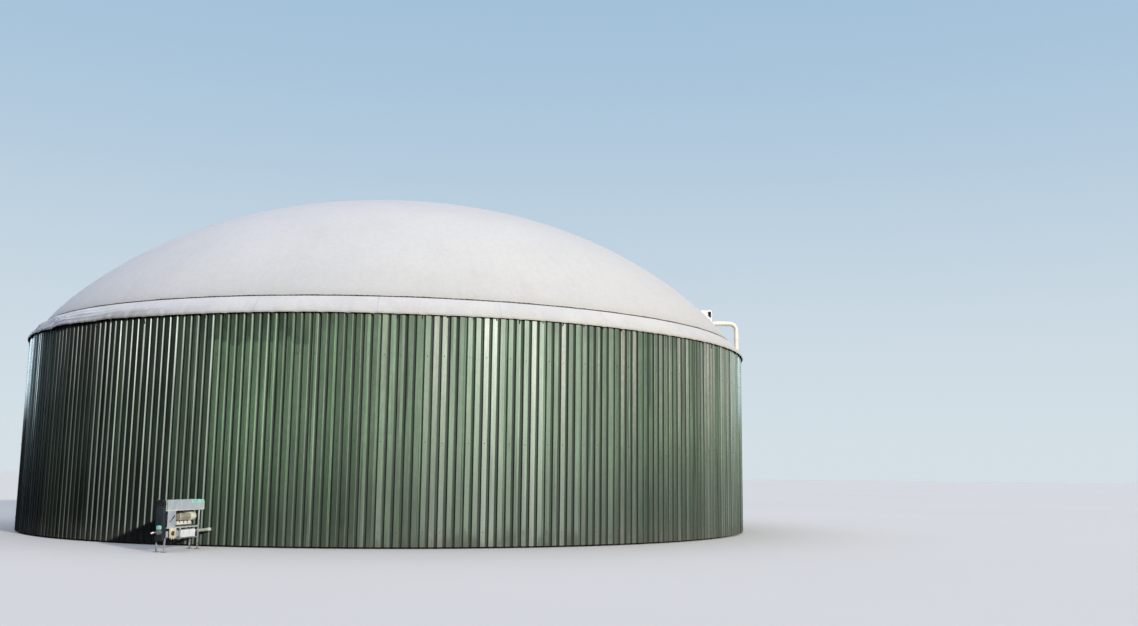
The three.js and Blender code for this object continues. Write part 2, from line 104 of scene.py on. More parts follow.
MEMBRANE = 0.003
DOME_RADIUS = 11.200
DOME_FOOT = 6.030
DOME_RISE = 4.608
DOME_FULLNESS = 2.305
DOME_ROUNDNESS = 0.857
DOME_HIDDEN_FOOT = 5.935
DOME_ROWS = 40
GORES = 36
GORE_COLUMNS = 10
GORE_SWELL = 0.004
CROWN_PATCH = 0.75

SKIRT_CURVE = ((11.206, 6.034), (11.262, 5.992), (11.380, 5.880), (11.512, 5.738), (11.588, 5.630),
               (11.598, 5.578))
SKIRT_ROWS = 22
SKIRT_COLUMNS = 1440
SKIRT_PIECES = 4
SKIRT_GAP = 0.00004
SKIRT_JOINTS = 24
SLACK_SIDE = (-84.0, -70.0, -46.0, -30.0)
GRIMY_SHADED_SIDE = (-70.0, -56.0, -40.0, -22.0)
SKYLIT_SIDE = (-110.0, -74.0, -46.0, -40.0)
SLACK_MIDDLE = math.radians(-58)
SLACK_REACH = math.radians(17)
SEAM_WIDTH = 0.034
SEAM_THICKNESS = 0.005
SEAM_COLUMNS = 1050
SEAM_STITCHES = 520
HOOKS = 120
HOOK_BEARING = -0.6
HOOK_HALF = 0.014
STRAP_HALF = (0.0015, 0.011)
STRAP_FOOT = 5.562
STRAP_PLACES = ((11.560, 0.0, 5.600), (11.572, 0.2, 5.578), (11.566, 0.5, 5.545))

# Mixer drive, air outlet and air pipe

MIXER_BEARING = -22.2
SHADED_POSTS = (CREST_FACE + 1.978, CREST_FACE + 1.984)
SHADED_POST_FOOT = (0.28, 0.31)
HOOD_STAIN = (1.03, 1.06)
HOOD_STAIN_LEVEL = (1.036, 1.048)
HOOD_SHADOW = (1.95, 2.025)
HOOD_RIVET = 0.0055
GUARD_CAP = 0.130
STATOR_END = 1.395
MOTOR_OUTER_END = 1.500
CONNECTION_BOX = (1.125, 1.255, 0.058)
MOTOR_ROUND = 40
KNOB_PLATE = 1.25
SLEEVE_FOLD = 0.026
COVER_HALF = 0.082
COVER_LEVELS = (0.298, 0.440)
FRAME_BAR = 0.025
FRAME_BOLT_LEVEL = 0.515

OUTLET_BEARING = MIXER_BEARING + 19 * 360 / SHEETS
OUTLET_LID = 0.010
OUTLET_FRAME = 0.014
OUTLET_CORNER = 0.062
OUTLET_BLADES = 5
RIVET = 0.006
SIDE_RIVETS = (6.90, 7.02, 7.26)
END_RIVETS = (6.80, 7.24)
BOOT_WIDTH = 0.065

PIPE_BEARING = MIXER_BEARING + 21 * 360 / SHEETS
PIPE_RADIUS = 0.075
PIPE_LEVEL = 7.130
PIPE_DROP = 11.705
PIPE_END = 0.430
PIPE_START = (10.5813, 6.8274)
PIPE_TILT = math.radians(44.3)
PIPE_BEND = 0.240
PIPE_SLEEVES = (6.62, 4.55, 2.30)

# Camera, light and floor. A sun is (name, energy, colour, starts of the names of the pieces it lights).

CAMERA_PLACE = (0.0, -38.167, 1.75)
CAMERA_FORWARD = (0.14878165, 0.97799969, 0.14622116)
CAMERA_UP = (-0.03241703, -0.1429637, 0.9891969)
CAMERA_LENS = 34.777
SUN_BEARING = 31
SUN_HEIGHT = 16.3
SUN_WIDTH = 1.6
SUNS = (
    ("membrane_key", 2.62, (1.0, 0.93, 0.78), ("dome_", "skirt_", "seam_")),
    ("wall_key", 7.0, (1.0, 0.95, 0.87), ("cladding_", "batten_", "hem_")),
    ("fittings_key", 4.5, (1.0, 0.95, 0.87), ()),
)
FLOOR_LEVEL = -0.004
FLOOR_RINGS = (0.01, 14.0, 30.0, 60.0, 120.0, 300.0, 900.0)

SEED = 20
rng = np.random.default_rng(SEED)


# Places round the tank

def outward(bearing):
    angle = math.radians(bearing)
    return np.array([math.sin(angle), -math.cos(angle), 0.0])


def sideways(bearing):
    return outward(bearing + 90)


def at_bearing(bearing, base=0.0):
    """A function that takes (distance out, distance along the wall, height) to the row frame."""
    out, along = outward(bearing), sideways(bearing)

    def place(x, y, z):
        return tuple((base + x) * out + y * along + np.array([0.0, 0.0, z]))

    return place


def ring_point(radius, bearing, z):
    x, y, _ = radius * outward(bearing)
    return x, y, z


def smooth_curve(points, count):
    """A smooth curve through the points, as count points."""
    points = np.array(points, dtype=float)
    padded = np.vstack([2 * points[0] - points[1], points, 2 * points[-1] - points[-2]])
    result = []
    for place in np.linspace(0, len(points) - 1, count):
        i = min(int(place), len(points) - 2)
        t = place - i
        a, b, c, d = padded[i:i + 4]
        bend = (2 * a - 5 * b + 4 * c - d) * t**2 + (3 * b - a - 3 * c + d) * t**3
        result.append(0.5 * (2 * b + (c - a) * t + bend))
    return np.array(result)


# Mesh building

class Build:
    """Collects vertices and faces in the row frame and turns them into one piece."""

    def __init__(self, place=None):
        self.verts, self.faces, self.tones = [], [], []
        self.place = place or (lambda x, y, z: (x, y, z))
        self.tone = 0.0

    def add(self, verts, faces):
        start = len(self.verts)
        self.verts.extend(self.place(*v) for v in verts)
        self.faces.extend(tuple(start + i for i in face) for face in faces)
        self.tones.extend([self.tone] * len(faces))

    def grid(self, rows, closed_rows=False, closed_columns=False, caps=False):
        """rows is a list of equally long lists of points."""
        count, width = len(rows), len(rows[0])
        faces = []
        for r in range(count if closed_rows else count - 1):
            for c in range(width if closed_columns else width - 1):
                a, b = r * width + c, r * width + (c + 1) % width
                d = ((r + 1) % count) * width
                faces.append((a, b, d + (c + 1) % width, d + c))
        if caps:
            faces.append(tuple(reversed(range(width))))
            faces.append(tuple((count - 1) * width + c for c in range(width)))
        self.add([p for row in rows for p in row], faces)

    def box(self, low, high, bevel=0.0):
        """A block with chamfered edges, as sections from one end to the other."""
        (x0, y0, z0), (x1, y1, z1) = low, high
        b = min(bevel, (x1 - x0) / 3, (y1 - y0) / 3, (z1 - z0) / 3)

        def ring(x, s):
            ys, ye, zs, ze = y0 + s, y1 - s, z0 + s, z1 - s
            return [(x, ys + b, zs), (x, ye - b, zs), (x, ye, zs + b), (x, ye, ze - b),
                    (x, ye - b, ze), (x, ys + b, ze), (x, ys, ze - b), (x, ys, zs + b)]

        sections = [ring(x0, b * 0.6), ring(x0 + b, 0), ring(x1 - b, 0), ring(x1, b * 0.6)]
        self.grid(sections, closed_columns=True, caps=True)

    def tube(self, path, radius, sides=16):
        """A round bar along a path; radius may be a list, one for each point."""
        points = [Vector(p) for p in path]
        radii = radius if hasattr(radius, "__len__") else [radius] * len(points)
        rings, normal = [], None
        for i, p in enumerate(points):
            ahead = (points[min(i + 1, len(points) - 1)] - points[max(i - 1, 0)]).normalized()
            if normal is None:
                helper = Vector((0, 0, 1)) if abs(ahead.z) < 0.9 else Vector((1, 0, 0))
                normal = ahead.cross(helper).normalized()
            normal = (normal - ahead * normal.dot(ahead)).normalized()
            other = ahead.cross(normal)
            turns = [TURN * k / sides for k in range(sides)]
            rings.append([tuple(p + (normal * math.cos(t) + other * math.sin(t)) * radii[i]) for t in turns])
        self.grid(rings, closed_columns=True, caps=True)

    def turned(self, centre, radius, profile, sides=28, axis=0):
        """A turned solid: the profile's pairs are a place on the axis and a share of the radius."""
        path = []
        for distance, _ in profile:
            point = list(centre)
            point[axis] = distance
            path.append(point)
        self.tube(path, [radius * share for _, share in profile], sides)

    def disc(self, centre, axis, radius, thickness, sides=16, edge=0.0):
        """A washer-like disc whose far edge may be rounded by edge."""
        axis = Vector(axis).normalized()
        ends = [(0, radius), (thickness - edge, radius), (thickness, radius - edge)]
        if edge <= 0:
            ends = ends[:2]
        self.tube([Vector(centre) + axis * d for d, _ in ends], [r for _, r in ends], sides)

    def bolt(self, centre, axis, size):
        """A hexagon head on a washer."""
        washer = size * 0.22
        self.disc(centre, axis, size * 0.95, washer, 12)
        head = Vector(centre) + Vector(axis).normalized() * washer
        self.disc(head, axis, size * 0.62, size * 0.55, 6, size * 0.08)

    def bolts(self, centre, axis, across, radius, count, size, first=0.0):
        """Bolts on a circle square to axis, counted from across; first is a share of a step."""
        axis, across = Vector(axis).normalized(), Vector(across).normalized()
        third = axis.cross(across)
        for k in range(count):
            angle = TURN * (k + first) / count
            away = (across * math.cos(angle) + third * math.sin(angle)) * radius
            self.bolt(Vector(centre) + away, axis, size)

    def slab(self, outline, start, end, edge, axis="x"):
        """An outline with thickness along an axis and rounded rims at both ends."""
        centre = np.mean(outline, axis=0)
        rows = []
        for distance, inset in ((start, edge), (start + 0.3 * edge, 0.3 * edge), (start + edge, 0.0),
                                (end - edge, 0.0), (end - 0.3 * edge, 0.3 * edge), (end, edge)):
            ring = [np.array(point) - np.sign(point - centre) * inset for point in outline]
            rows.append([(distance, a, b) if axis == "x" else (a, distance, b) for a, b in ring])
        self.grid(rows, closed_columns=True, caps=True)

    def piece(self, name, finish, slot=None, smooth=35, replaces=()):
        """The finished piece, with its finish; slot is not used."""
        mesh = bpy.data.meshes.new(name)
        mesh.from_pydata(self.verts, [], self.faces)
        mesh.update()
        bm = bmesh.new()
        bm.from_mesh(mesh)
        bmesh.ops.recalc_face_normals(bm, faces=bm.faces)
        bm.to_mesh(mesh)
        bm.free()
        if any(self.tones):
            tone = mesh.attributes.new("tone", "FLOAT", "FACE")
            tone.data.foreach_set("value", self.tones)
        mesh.polygons.foreach_set("use_smooth", [smooth is not None] * len(mesh.polygons))
        if smooth is not None:
            mesh.set_sharp_from_angle(angle=math.radians(smooth))
        mesh.materials.append(FINISH[finish])
        obj = bpy.data.objects.new(name, mesh)
        bpy.context.scene.collection.objects.link(obj)
        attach(obj, "root")
        if replaces:
            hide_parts(*replaces)
        return obj


# Materials

class Nodes:
    """Makes shader nodes in a tree; each method but node gives the new node's output."""

    def __init__(self, tree, coordinates):
        self.tree = tree
        self.place = self.node("TexCoord").outputs[coordinates]
        self.x, self.y, self.z = self.node("SeparateXYZ", self.place).outputs

    def put(self, socket, value):
        if isinstance(value, bpy.types.NodeSocket):
            self.tree.links.new(value, socket)
        elif socket.type == "RGBA" and hasattr(value, "__len__"):
            socket.default_value = (*value, 1.0)
        else:
            socket.default_value = value

    def node(self, kind, *values, **named):
        """A node with its first inputs set in order, or inputs set by name."""
        node = self.tree.nodes.new("ShaderNode" + kind)
        for socket, value in zip(node.inputs, values):
            self.put(socket, value)
        for name, value in named.items():
            self.put(node.inputs[name], value)
        return node

    def math(self, operation, *values):
        node = self.node("Math", *values)
        node.operation = operation
        return node.outputs[0]

    def times(self, *values):
        return functools.reduce(lambda total, value: self.math("MULTIPLY", total, value), values)

    def plus(self, *values):
        return functools.reduce(lambda total, value: self.math("ADD", total, value), values)

    def range(self, value, low, high, start=0.0, end=1.0):
        """Value from low to high becomes start to end, with smooth ends."""
        node = self.node("MapRange")
        node.interpolation_type = "SMOOTHSTEP"
        for socket, item in zip(node.inputs, (value, low, high, start, end)):
            self.put(socket, item)
        return node.outputs[0]

    def between(self, value, a, b, c, d):
        """0 outside a and d, and 1 from b to c."""
        return self.times(self.range(value, a, b), self.range(value, d, c))

    def mix(self, factor, first, second, blend="MIX"):
        node = self.node("Mix", Factor=factor)
        node.data_type = "RGBA"
        node.blend_type = blend
        colours = [socket for socket in node.inputs if socket.type == "RGBA"]
        self.put(colours[0], first)
        self.put(colours[1], second)
        return [socket for socket in node.outputs if socket.type == "RGBA"][0]


class Finish(Nodes):
    """A material in object coordinates, which are the row frame's metres. Its base colour grows in layers."""

    def __init__(self, name, roughness=0.5, metallic=0.0, specular=0.5):
        self.material = bpy.data.materials.new(name)
        self.material.use_nodes = True
        super().__init__(self.material.node_tree, "Object")
        self.shader = self.tree.nodes["Principled BSDF"]
        self.shader.inputs["Roughness"].default_value = roughness
        self.shader.inputs["Metallic"].default_value = metallic
        self.shader.inputs["Specular IOR Level"].default_value = specular
        self.base = None

    def noise(self, scale, detail=4.0, down=1.0, roughness=0.55, at=None):
        """Noise whose pattern is drawn out along the height where down is under 1."""
        place = at or self.node("Mapping", Vector=self.place, Scale=(1, 1, down)).outputs[0]
        node = self.node("TexNoise", Vector=place, Scale=scale, Detail=detail, Roughness=roughness)
        return node.outputs["Fac"]

    def clouds(self, scale, detail, low, high, start=0.0, end=1.0, **shape):
        """Noise from low to high becomes start to end."""
        return self.range(self.noise(scale, detail, **shape), low, high, start, end)

    def cells(self, scale):
        return self.node("TexVoronoi", Vector=self.place, Scale=scale).outputs["Distance"]

    def attribute(self, name):
        node = self.node("Attribute")
        node.attribute_name = name
        return node.outputs["Fac"]

    def bearing(self):
        """The share of a turn round the tank, from -Y towards +X and on round."""
        angle = self.math("ARCTAN2", self.x, self.times(self.y, -1.0))
        return self.math("DIVIDE", angle, TURN)

    def degrees(self):
        return self.times(self.bearing(), 360.0)

    def radius(self):
        return self.math("SQRT", self.plus(self.times(self.x, self.x), self.times(self.y, self.y)))

    def reach(self, bearing):
        """The distance from the tank's axis towards a bearing."""
        out = outward(bearing)
        return self.plus(self.times(self.x, out[0]), self.times(self.y, out[1]))

    def polar(self, turns, other=0.0):
        """A place for noise that runs round the tank, turns units to the turn."""
        return self.node("CombineXYZ", self.times(self.bearing(), turns), other, 0.0).outputs[0]

    def line(self, count, phase, width):
        """1 on count thin lines round the tank; phase and width are shares of a turn."""
        wave = self.times(self.plus(self.bearing(), -phase), float(count))
        near = self.math("ABSOLUTE", self.plus(self.math("FRACT", self.plus(wave, 1000.5)), -0.5))
        return self.range(near, 0.0, width * count, 1.0, 0.0)

    def over(self, colour, *amounts):
        """Lays a colour over the base colour by the product of the amounts."""
        self.base = self.mix(self.times(*amounts), self.base, colour)

    def vary(self, *amounts):
        """Multiplies the base colour by the amounts, which are near 1."""
        self.base = self.mix(1.0, self.base, self.times(*amounts), "MULTIPLY")

    def done(self, roughness, height, distance, strength=0.5):
        """The material, with its base colour, roughness and bump connected."""
        bump = self.node("Bump", Strength=strength, Distance=distance, Height=height)
        for name, value in (("Base Color", self.base), ("Roughness", roughness), ("Normal", bump.outputs[0])):
            self.put(self.shader.inputs[name], value)
        return self.material


def cladding_dirt_and_shade(f, tone, groove_shade):
    """The tone's painted shade and sunlight, moss, chalk, runs, a darker band under the hem, the stain under
    the hem, painted shade in the grooves and the splashes; gives the runs and the splashes.
    """
    # The base colour follows the tone: painted shade at -1, painted sunlight at 1.
    f.base = f.mix(f.plus(f.times(tone, 0.5), 0.5), (0.010, 0.014, 0.011), (0.071, 0.122, 0.072))
    f.over((0.027, 0.046, 0.032), f.clouds(0.7, 5.0, 0.35, 0.70, 0.0, 0.33))
    chalk = f.times(f.clouds(5.0, 5.0, 0.52, 0.80, down=0.06), f.range(tone, -0.4, 0.8, 0.10, 0.34))
    f.over((0.125, 0.165, 0.122), chalk)
    runs = f.clouds(9.0, 6.0, 0.52, 0.76, 0.0, 0.45, down=0.035, roughness=0.62)
    f.over((0.016, 0.023, 0.015), runs)
    # A darker band just under the hem, in patches.
    under_hem_patches = f.clouds(2.4, 3.0, 0.40, 0.60, 0.15, 1.0, at=f.polar(22.0))
    shade = f.clouds(6.0, 4.0, 0.30, 0.62, 0.55, 1.0, down=0.08)
    f.over((0.012, 0.018, 0.012), f.range(f.z, 5.05, 5.35), under_hem_patches, shade, 0.55)
    ragged = f.times(f.plus(f.noise(3.4, 6.0, roughness=0.65), -0.5), 0.9)
    stain = f.between(f.degrees(), *STAINED_SIDE)
    stain = f.times(f.range(f.plus(f.z, ragged), *STAIN_FOOT), stain)
    f.over((0.012, 0.022, 0.014), stain, f.clouds(3.3, 5.0, 0.36, 0.60, 0.62, 1.0, down=0.5), 0.82)
    # Painted shade in the grooves.
    f.over((0.003, 0.004, 0.003), groove_shade, 0.93)
    return runs, f.times(f.range(f.z, 0.75, 0.02), f.clouds(2.3, 5.0, 0.32, 0.62, 0.3, 1.0))


def cladding_finish():
    """Coil-coated sheet: its ribs' left flanks get painted shade, and their right flanks painted sunlight and
    glints.
    """
    f = Finish("cladding_paint", specular=0.46)
    f.shader.inputs["IOR"].default_value = PAINT_IOR
    f.put(f.shader.inputs["Specular Tint"], PAINT_TINT)
    tone, radius, degrees = f.attribute("tone"), f.radius(), f.degrees()
    rib = f.times(f.plus(f.bearing(), -LAP_BEARING / 360), float(RIBS))
    groove_shade = f.range(radius, *GROOVE_SHADE)
    runs, splash = cladding_dirt_and_shade(f, tone, groove_shade)
    right = f.range(f.math("FRACT", rib), 0.49, 0.51)
    left = f.math("SUBTRACT", 1.0, right)
    front = f.range(f.y, *FRONT)
    behind_crest = f.range(radius, FLANK_EDGE[1], FLANK_EDGE[0])
    # Painted shade on the ribs' left flanks, most on the front.
    f.over((0.003, 0.004, 0.003), left, behind_crest, f.range(front, 0.0, 1.0, 0.25, 0.97))
    f.over((0.034, 0.031, 0.022), splash, 0.75)
    specks = f.range(f.cells(34.0), 0.10, 0.03, 0.0, 0.5)
    f.over((0.020, 0.021, 0.017), specks, f.clouds(3.1, 2.0, 0.60, 0.68))
    # Painted sunlight: the right flanks, which face the sun, are lighter.
    flank = f.times(f.between(radius, *FLANK_FOOT, *FLANK_EDGE), right)
    f.over((0.084, 0.148, 0.084), flank, f.range(tone, -0.7, 0.2, 0.0, 0.70))
    # Painted glints: pale stripes on the right flanks near the top, on the shaded side.
    top = f.times(f.range(f.z, 3.2, 5.3), f.range(tone, 0.1, -0.5))
    f.over((0.190, 0.192, 0.200), flank, top, f.clouds(1.2, 3.0, 0.35, 0.65, 0.25, 1.0, down=0.3))
    f.over((0.0, 0.0, 0.0), f.range(f.z, 3.3, 0.6), f.range(front, 0.0, 1.0, 0.15, 0.60))
    # Painted glare: some ribs on the sunny side are silvery white, most towards the top.
    each_rib = f.node("CombineXYZ", f.times(f.math("FLOOR", rib), 7.31), 0.0, 0.0).outputs[0]
    chance = f.noise(1.0, 0.0, at=each_rib)
    painted_glare = f.times(f.range(chance, 0.46, 0.60), f.between(degrees, *SUNNY_SIDE))
    painted_glare = f.times(painted_glare, f.range(f.z, 2.0, 5.0, 0.25, 1.0))
    f.over((0.226, 0.228, 0.212), painted_glare, f.range(groove_shade, 0.0, 1.0, 0.65, 0.0))
    f.vary(f.clouds(24.0, 5.0, 0.30, 0.70, 0.74, 1.26, down=0.03, roughness=0.65),
           f.clouds(16.0, 6.0, 0.32, 0.68, 0.86, 1.14, down=0.5, roughness=0.70))
    worn = f.plus(f.times(runs, 0.8), f.times(splash, 0.8))
    rough = f.plus(f.range(worn, 0.0, 1.0, f.range(tone, -1.0, 0.2, 0.44, 0.50), 0.74),
                   f.clouds(2.6, 4.0, 0.30, 0.70, -0.045, 0.045, down=0.10),
                   f.range(chance, 0.40, 0.60, 0.035, -0.045), f.range(radius, *FLANK_DIRT, 0.0, 0.30))
    grazing = f.range(f.node("LayerWeight", Blend=0.5).outputs["Facing"], 0.74, 0.93, 1.0, 0.30)
    dents = f.plus(f.noise(1.6, 2.0, 0.35), f.times(f.noise(60.0, 3.0), 0.03))
    return f.done(f.times(rough, grazing), dents, 0.012)


def dome_finish():
    f = Finish("dome_membrane", specular=0.35)
    radius = f.radius()
    f.base = f.mix(f.clouds(0.16, 4.0, 0.35, 0.68), (0.575, 0.572, 0.566), (0.612, 0.606, 0.590))
    blotches = f.noise(1.1, 6.0, roughness=0.6)
    f.over((0.490, 0.488, 0.495), f.range(blotches, 0.52, 0.80, 0.0, 0.16))
    runs = f.clouds(2.2, 5.0, 0.50, 0.78, 0.0, 0.22, at=f.polar(95.0, f.times(radius, 0.22)))
    f.over((0.455, 0.450, 0.440), runs, f.range(radius, 6.5, 11.1))
    gore_welds = f.line(GORES, 0.5 / GORES, 0.00020)
    gore_welds = f.times(gore_welds, f.range(radius, CROWN_PATCH, CROWN_PATCH + 0.01))
    from_ring = f.math("ABSOLUTE", f.plus(radius, -CROWN_PATCH))
    f.over((0.46, 0.46, 0.47), f.math("MAXIMUM", gore_welds, f.range(from_ring, 0.030, 0.022)), 0.16)
    # Painted shade: darker towards the crown.
    f.over((0.42, 0.42, 0.43), f.range(radius, 10.6, 4.0, 0.0, 0.62))
    f.over((0.44, 0.43, 0.41), f.range(radius, 11.00, 11.19), 0.22)
    f.vary(f.clouds(7.0, 6.0, 0.30, 0.70, 0.965, 1.035, roughness=0.70))
    height = f.plus(f.noise(0.8, 3.0), f.times(f.noise(140.0, 2.0), 0.02))
    return f.done(f.range(blotches, 0.3, 0.7, 0.55, 0.70), height, 0.010, 0.45)


def skirt_finish():
    """Dirt smudges low on the skirt, with painted shade away from the sun, in the slack creases and on the
    shaded side, and painted sky light on the far slack side.
    """
    f = Finish("skirt_membrane", specular=0.4)
    degrees = f.degrees()
    facing = f.times(f.reach(SUN_BEARING), 1 / DOME_RADIUS)
    low = f.range(f.z, 5.90, 5.62)
    f.base = f.mix(f.clouds(0.9, 4.0, 0.35, 0.68), (0.596, 0.590, 0.590), (0.640, 0.632, 0.618))
    smudge = f.noise(3.4, 6.0, at=f.polar(72.0, f.times(f.z, 1.1)), roughness=0.62)
    # Dirt smudges low on the skirt, made stronger by painted shade where it faces away from the sun.
    f.over((0.380, 0.370, 0.365), f.range(smudge, 0.36, 0.72), low, f.range(facing, 0.85, 0.20, 0.10, 0.42))
    drips = f.polar(110.0, f.times(f.z, 0.55))
    f.over((0.420, 0.415, 0.400), f.clouds(9.0, 5.0, 0.56, 0.80, 0.0, 0.22, at=drips))
    f.over((0.60, 0.54, 0.44), f.clouds(1.7, 4.0, 0.50, 0.68, 0.0, 0.32), low, f.range(facing, 0.5, 0.8))
    # Painted shade where the skirt faces away from the sun.
    f.over((0.42, 0.42, 0.44), f.range(facing, 0.80, 0.15, 0.0, 0.16))
    # Painted shade in the creases on the slack side.
    folds = f.clouds(1.0, 5.0, 0.52, 0.66, 0.0, 0.30, at=f.polar(95.0, f.times(f.z, 16.0)), roughness=0.6)
    f.over((0.300, 0.300, 0.315), folds, f.between(degrees, *SLACK_SIDE))
    # Grime low on the skirt, together with painted shade on its shaded side.
    grime_and_shade = f.times(f.range(f.z, 5.86, 5.70), f.range(smudge, 0.34, 0.60, 0.2, 0.75))
    f.over((0.330, 0.325, 0.315), grime_and_shade, f.between(degrees, *GRIMY_SHADED_SIDE))
    f.over((0.36, 0.35, 0.33), f.range(f.z, 5.605, 5.578), 0.25)
    f.over((0.40, 0.40, 0.41), f.line(SKIRT_JOINTS, LAP_BEARING / 360, 0.00030), 0.40)
    # Painted sky light: the far slack side is lighter and bluish.
    f.over((0.70, 0.70, 0.73), f.between(degrees, *SKYLIT_SIDE), 0.34)
    f.vary(f.clouds(11.0, 6.0, 0.30, 0.70, 0.955, 1.035, roughness=0.70))
    height = f.plus(f.noise(5.0, 4.0), f.times(f.noise(160.0, 2.0), 0.03))
    return f.done(f.range(smudge, 0.3, 0.7, 0.50, 0.68), height, 0.006)


def seam_finish():
    f = Finish("seam_dirt_and_shade", specular=0.3)
    blotches = f.clouds(1.0, 5.0, 0.30, 0.70, at=f.polar(340.0))
    # Dirt and painted shade of the gap between the dome and the skirt.
    f.base = f.mix(blotches, (0.028, 0.024, 0.018), (0.120, 0.105, 0.080))
    f.over((0.360, 0.345, 0.310), f.line(SEAM_STITCHES, 0.0, 0.00042), 0.55)
    return f.done(f.clouds(30.0, 3.0, 0.3, 0.7, 0.65, 0.85), f.noise(80.0, 3.0), 0.002, 0.6)


def coated(name, base, shade, roughness=0.5, dirt=0.35, metallic=0.0, soil=(0.09, 0.08, 0.06), specular=0.5,
           extra=None):
    """Paint, plastic or metal with clouding, runs of dirt, soil near the ground and a fine grain."""
    f = Finish(name, roughness, metallic, specular)
    f.base = f.mix(f.clouds(4.0, 5.0, 0.32, 0.68), base, shade)
    f.over(soil, f.clouds(14.0, 5.0, 0.50, 0.75, 0.0, dirt, down=0.12, roughness=0.6))
    if extra:
        extra(f)
    f.over(soil, f.range(f.z, 0.55, 0.02), f.clouds(9.0, 5.0, 0.38, 0.62), 2 * dirt)
    return f.done(f.clouds(12.0, 4.0, 0.3, 0.7, roughness - 0.08, roughness + 0.14), f.noise(30.0), 0.0015)


def painted_shade_posts(f):
    """The posts at the belt guard get painted shade, dark like the guard, down to their feet."""
    dark = f.mix(f.noise(6.0), (0.014, 0.019, 0.027), (0.024, 0.032, 0.044))
    f.over(dark, f.range(f.reach(MIXER_BEARING), *SHADED_POSTS), f.range(f.z, *SHADED_POST_FOOT))


def galvanised_finish():
    f = Finish("galvanised_steel", metallic=0.85)
    f.base = f.mix(f.range(f.cells(46.0), 0.1, 0.7), (0.52, 0.54, 0.56), (0.68, 0.70, 0.71))
    white_rust = f.noise(7.0, 5.0, 0.5)
    f.over((0.60, 0.60, 0.58), f.range(white_rust, 0.52, 0.72, 0.0, 0.5))
    f.over((0.13, 0.10, 0.07), f.range(f.z, 0.45, 0.0), f.clouds(8.0, 5.0, 0.35, 0.62), 0.75)
    return f.done(f.range(white_rust, 0.3, 0.7, 0.36, 0.60), f.noise(90.0, 3.0), 0.0008)


def concrete_finish():
    f = Finish("cast_concrete", specular=0.3)
    f.base = f.mix(f.clouds(1.2, 6.0, 0.3, 0.7), (0.36, 0.35, 0.33), (0.46, 0.45, 0.42))
    f.over((0.20, 0.19, 0.18), f.range(f.cells(22.0), 0.12, 0.05, 0.0, 0.6))
    return f.done(f.clouds(11.0, 4.0, 0.3, 0.7, 0.80, 0.95), f.noise(18.0, 6.0), 0.004, 0.6)


def hood_finish():
    """Light grey paint with runs of dirt and a pale green stain at its inner top corner."""
    f = Finish("hood_paint")
    reach = f.plus(f.reach(MIXER_BEARING), -CREST_FACE)
    f.base = f.mix(f.clouds(3.5, 5.0, 0.32, 0.68), (0.33, 0.38, 0.42), (0.40, 0.455, 0.50))
    f.over((0.16, 0.16, 0.16), f.clouds(16.0, 5.0, 0.50, 0.75, 0.0, 0.35, down=0.10, roughness=0.6))
    ragged = f.times(f.plus(f.noise(11.0), -0.5), 0.14)
    inner = f.range(f.plus(reach, ragged), HOOD_STAIN[1], HOOD_STAIN[0])
    upper = f.range(f.plus(f.z, f.times(ragged, 0.3)), *HOOD_STAIN_LEVEL)
    mint = f.mix(f.clouds(6.0, 4.0, 0.40, 0.60), (0.23, 0.52, 0.44), (0.36, 0.62, 0.56))
    f.over(mint, inner, upper, 0.92)
    f.over((0.030, 0.034, 0.040), f.range(reach, *HOOD_SHADOW))
    height = f.plus(f.noise(5.0, 3.0), f.times(f.noise(70.0, 3.0), 0.05))
    return f.done(f.clouds(9.0, 4.0, 0.3, 0.7, 0.42, 0.62), height, 0.004)


# Each coat is (colour, second colour, roughness, dirt), with what differs from the usual

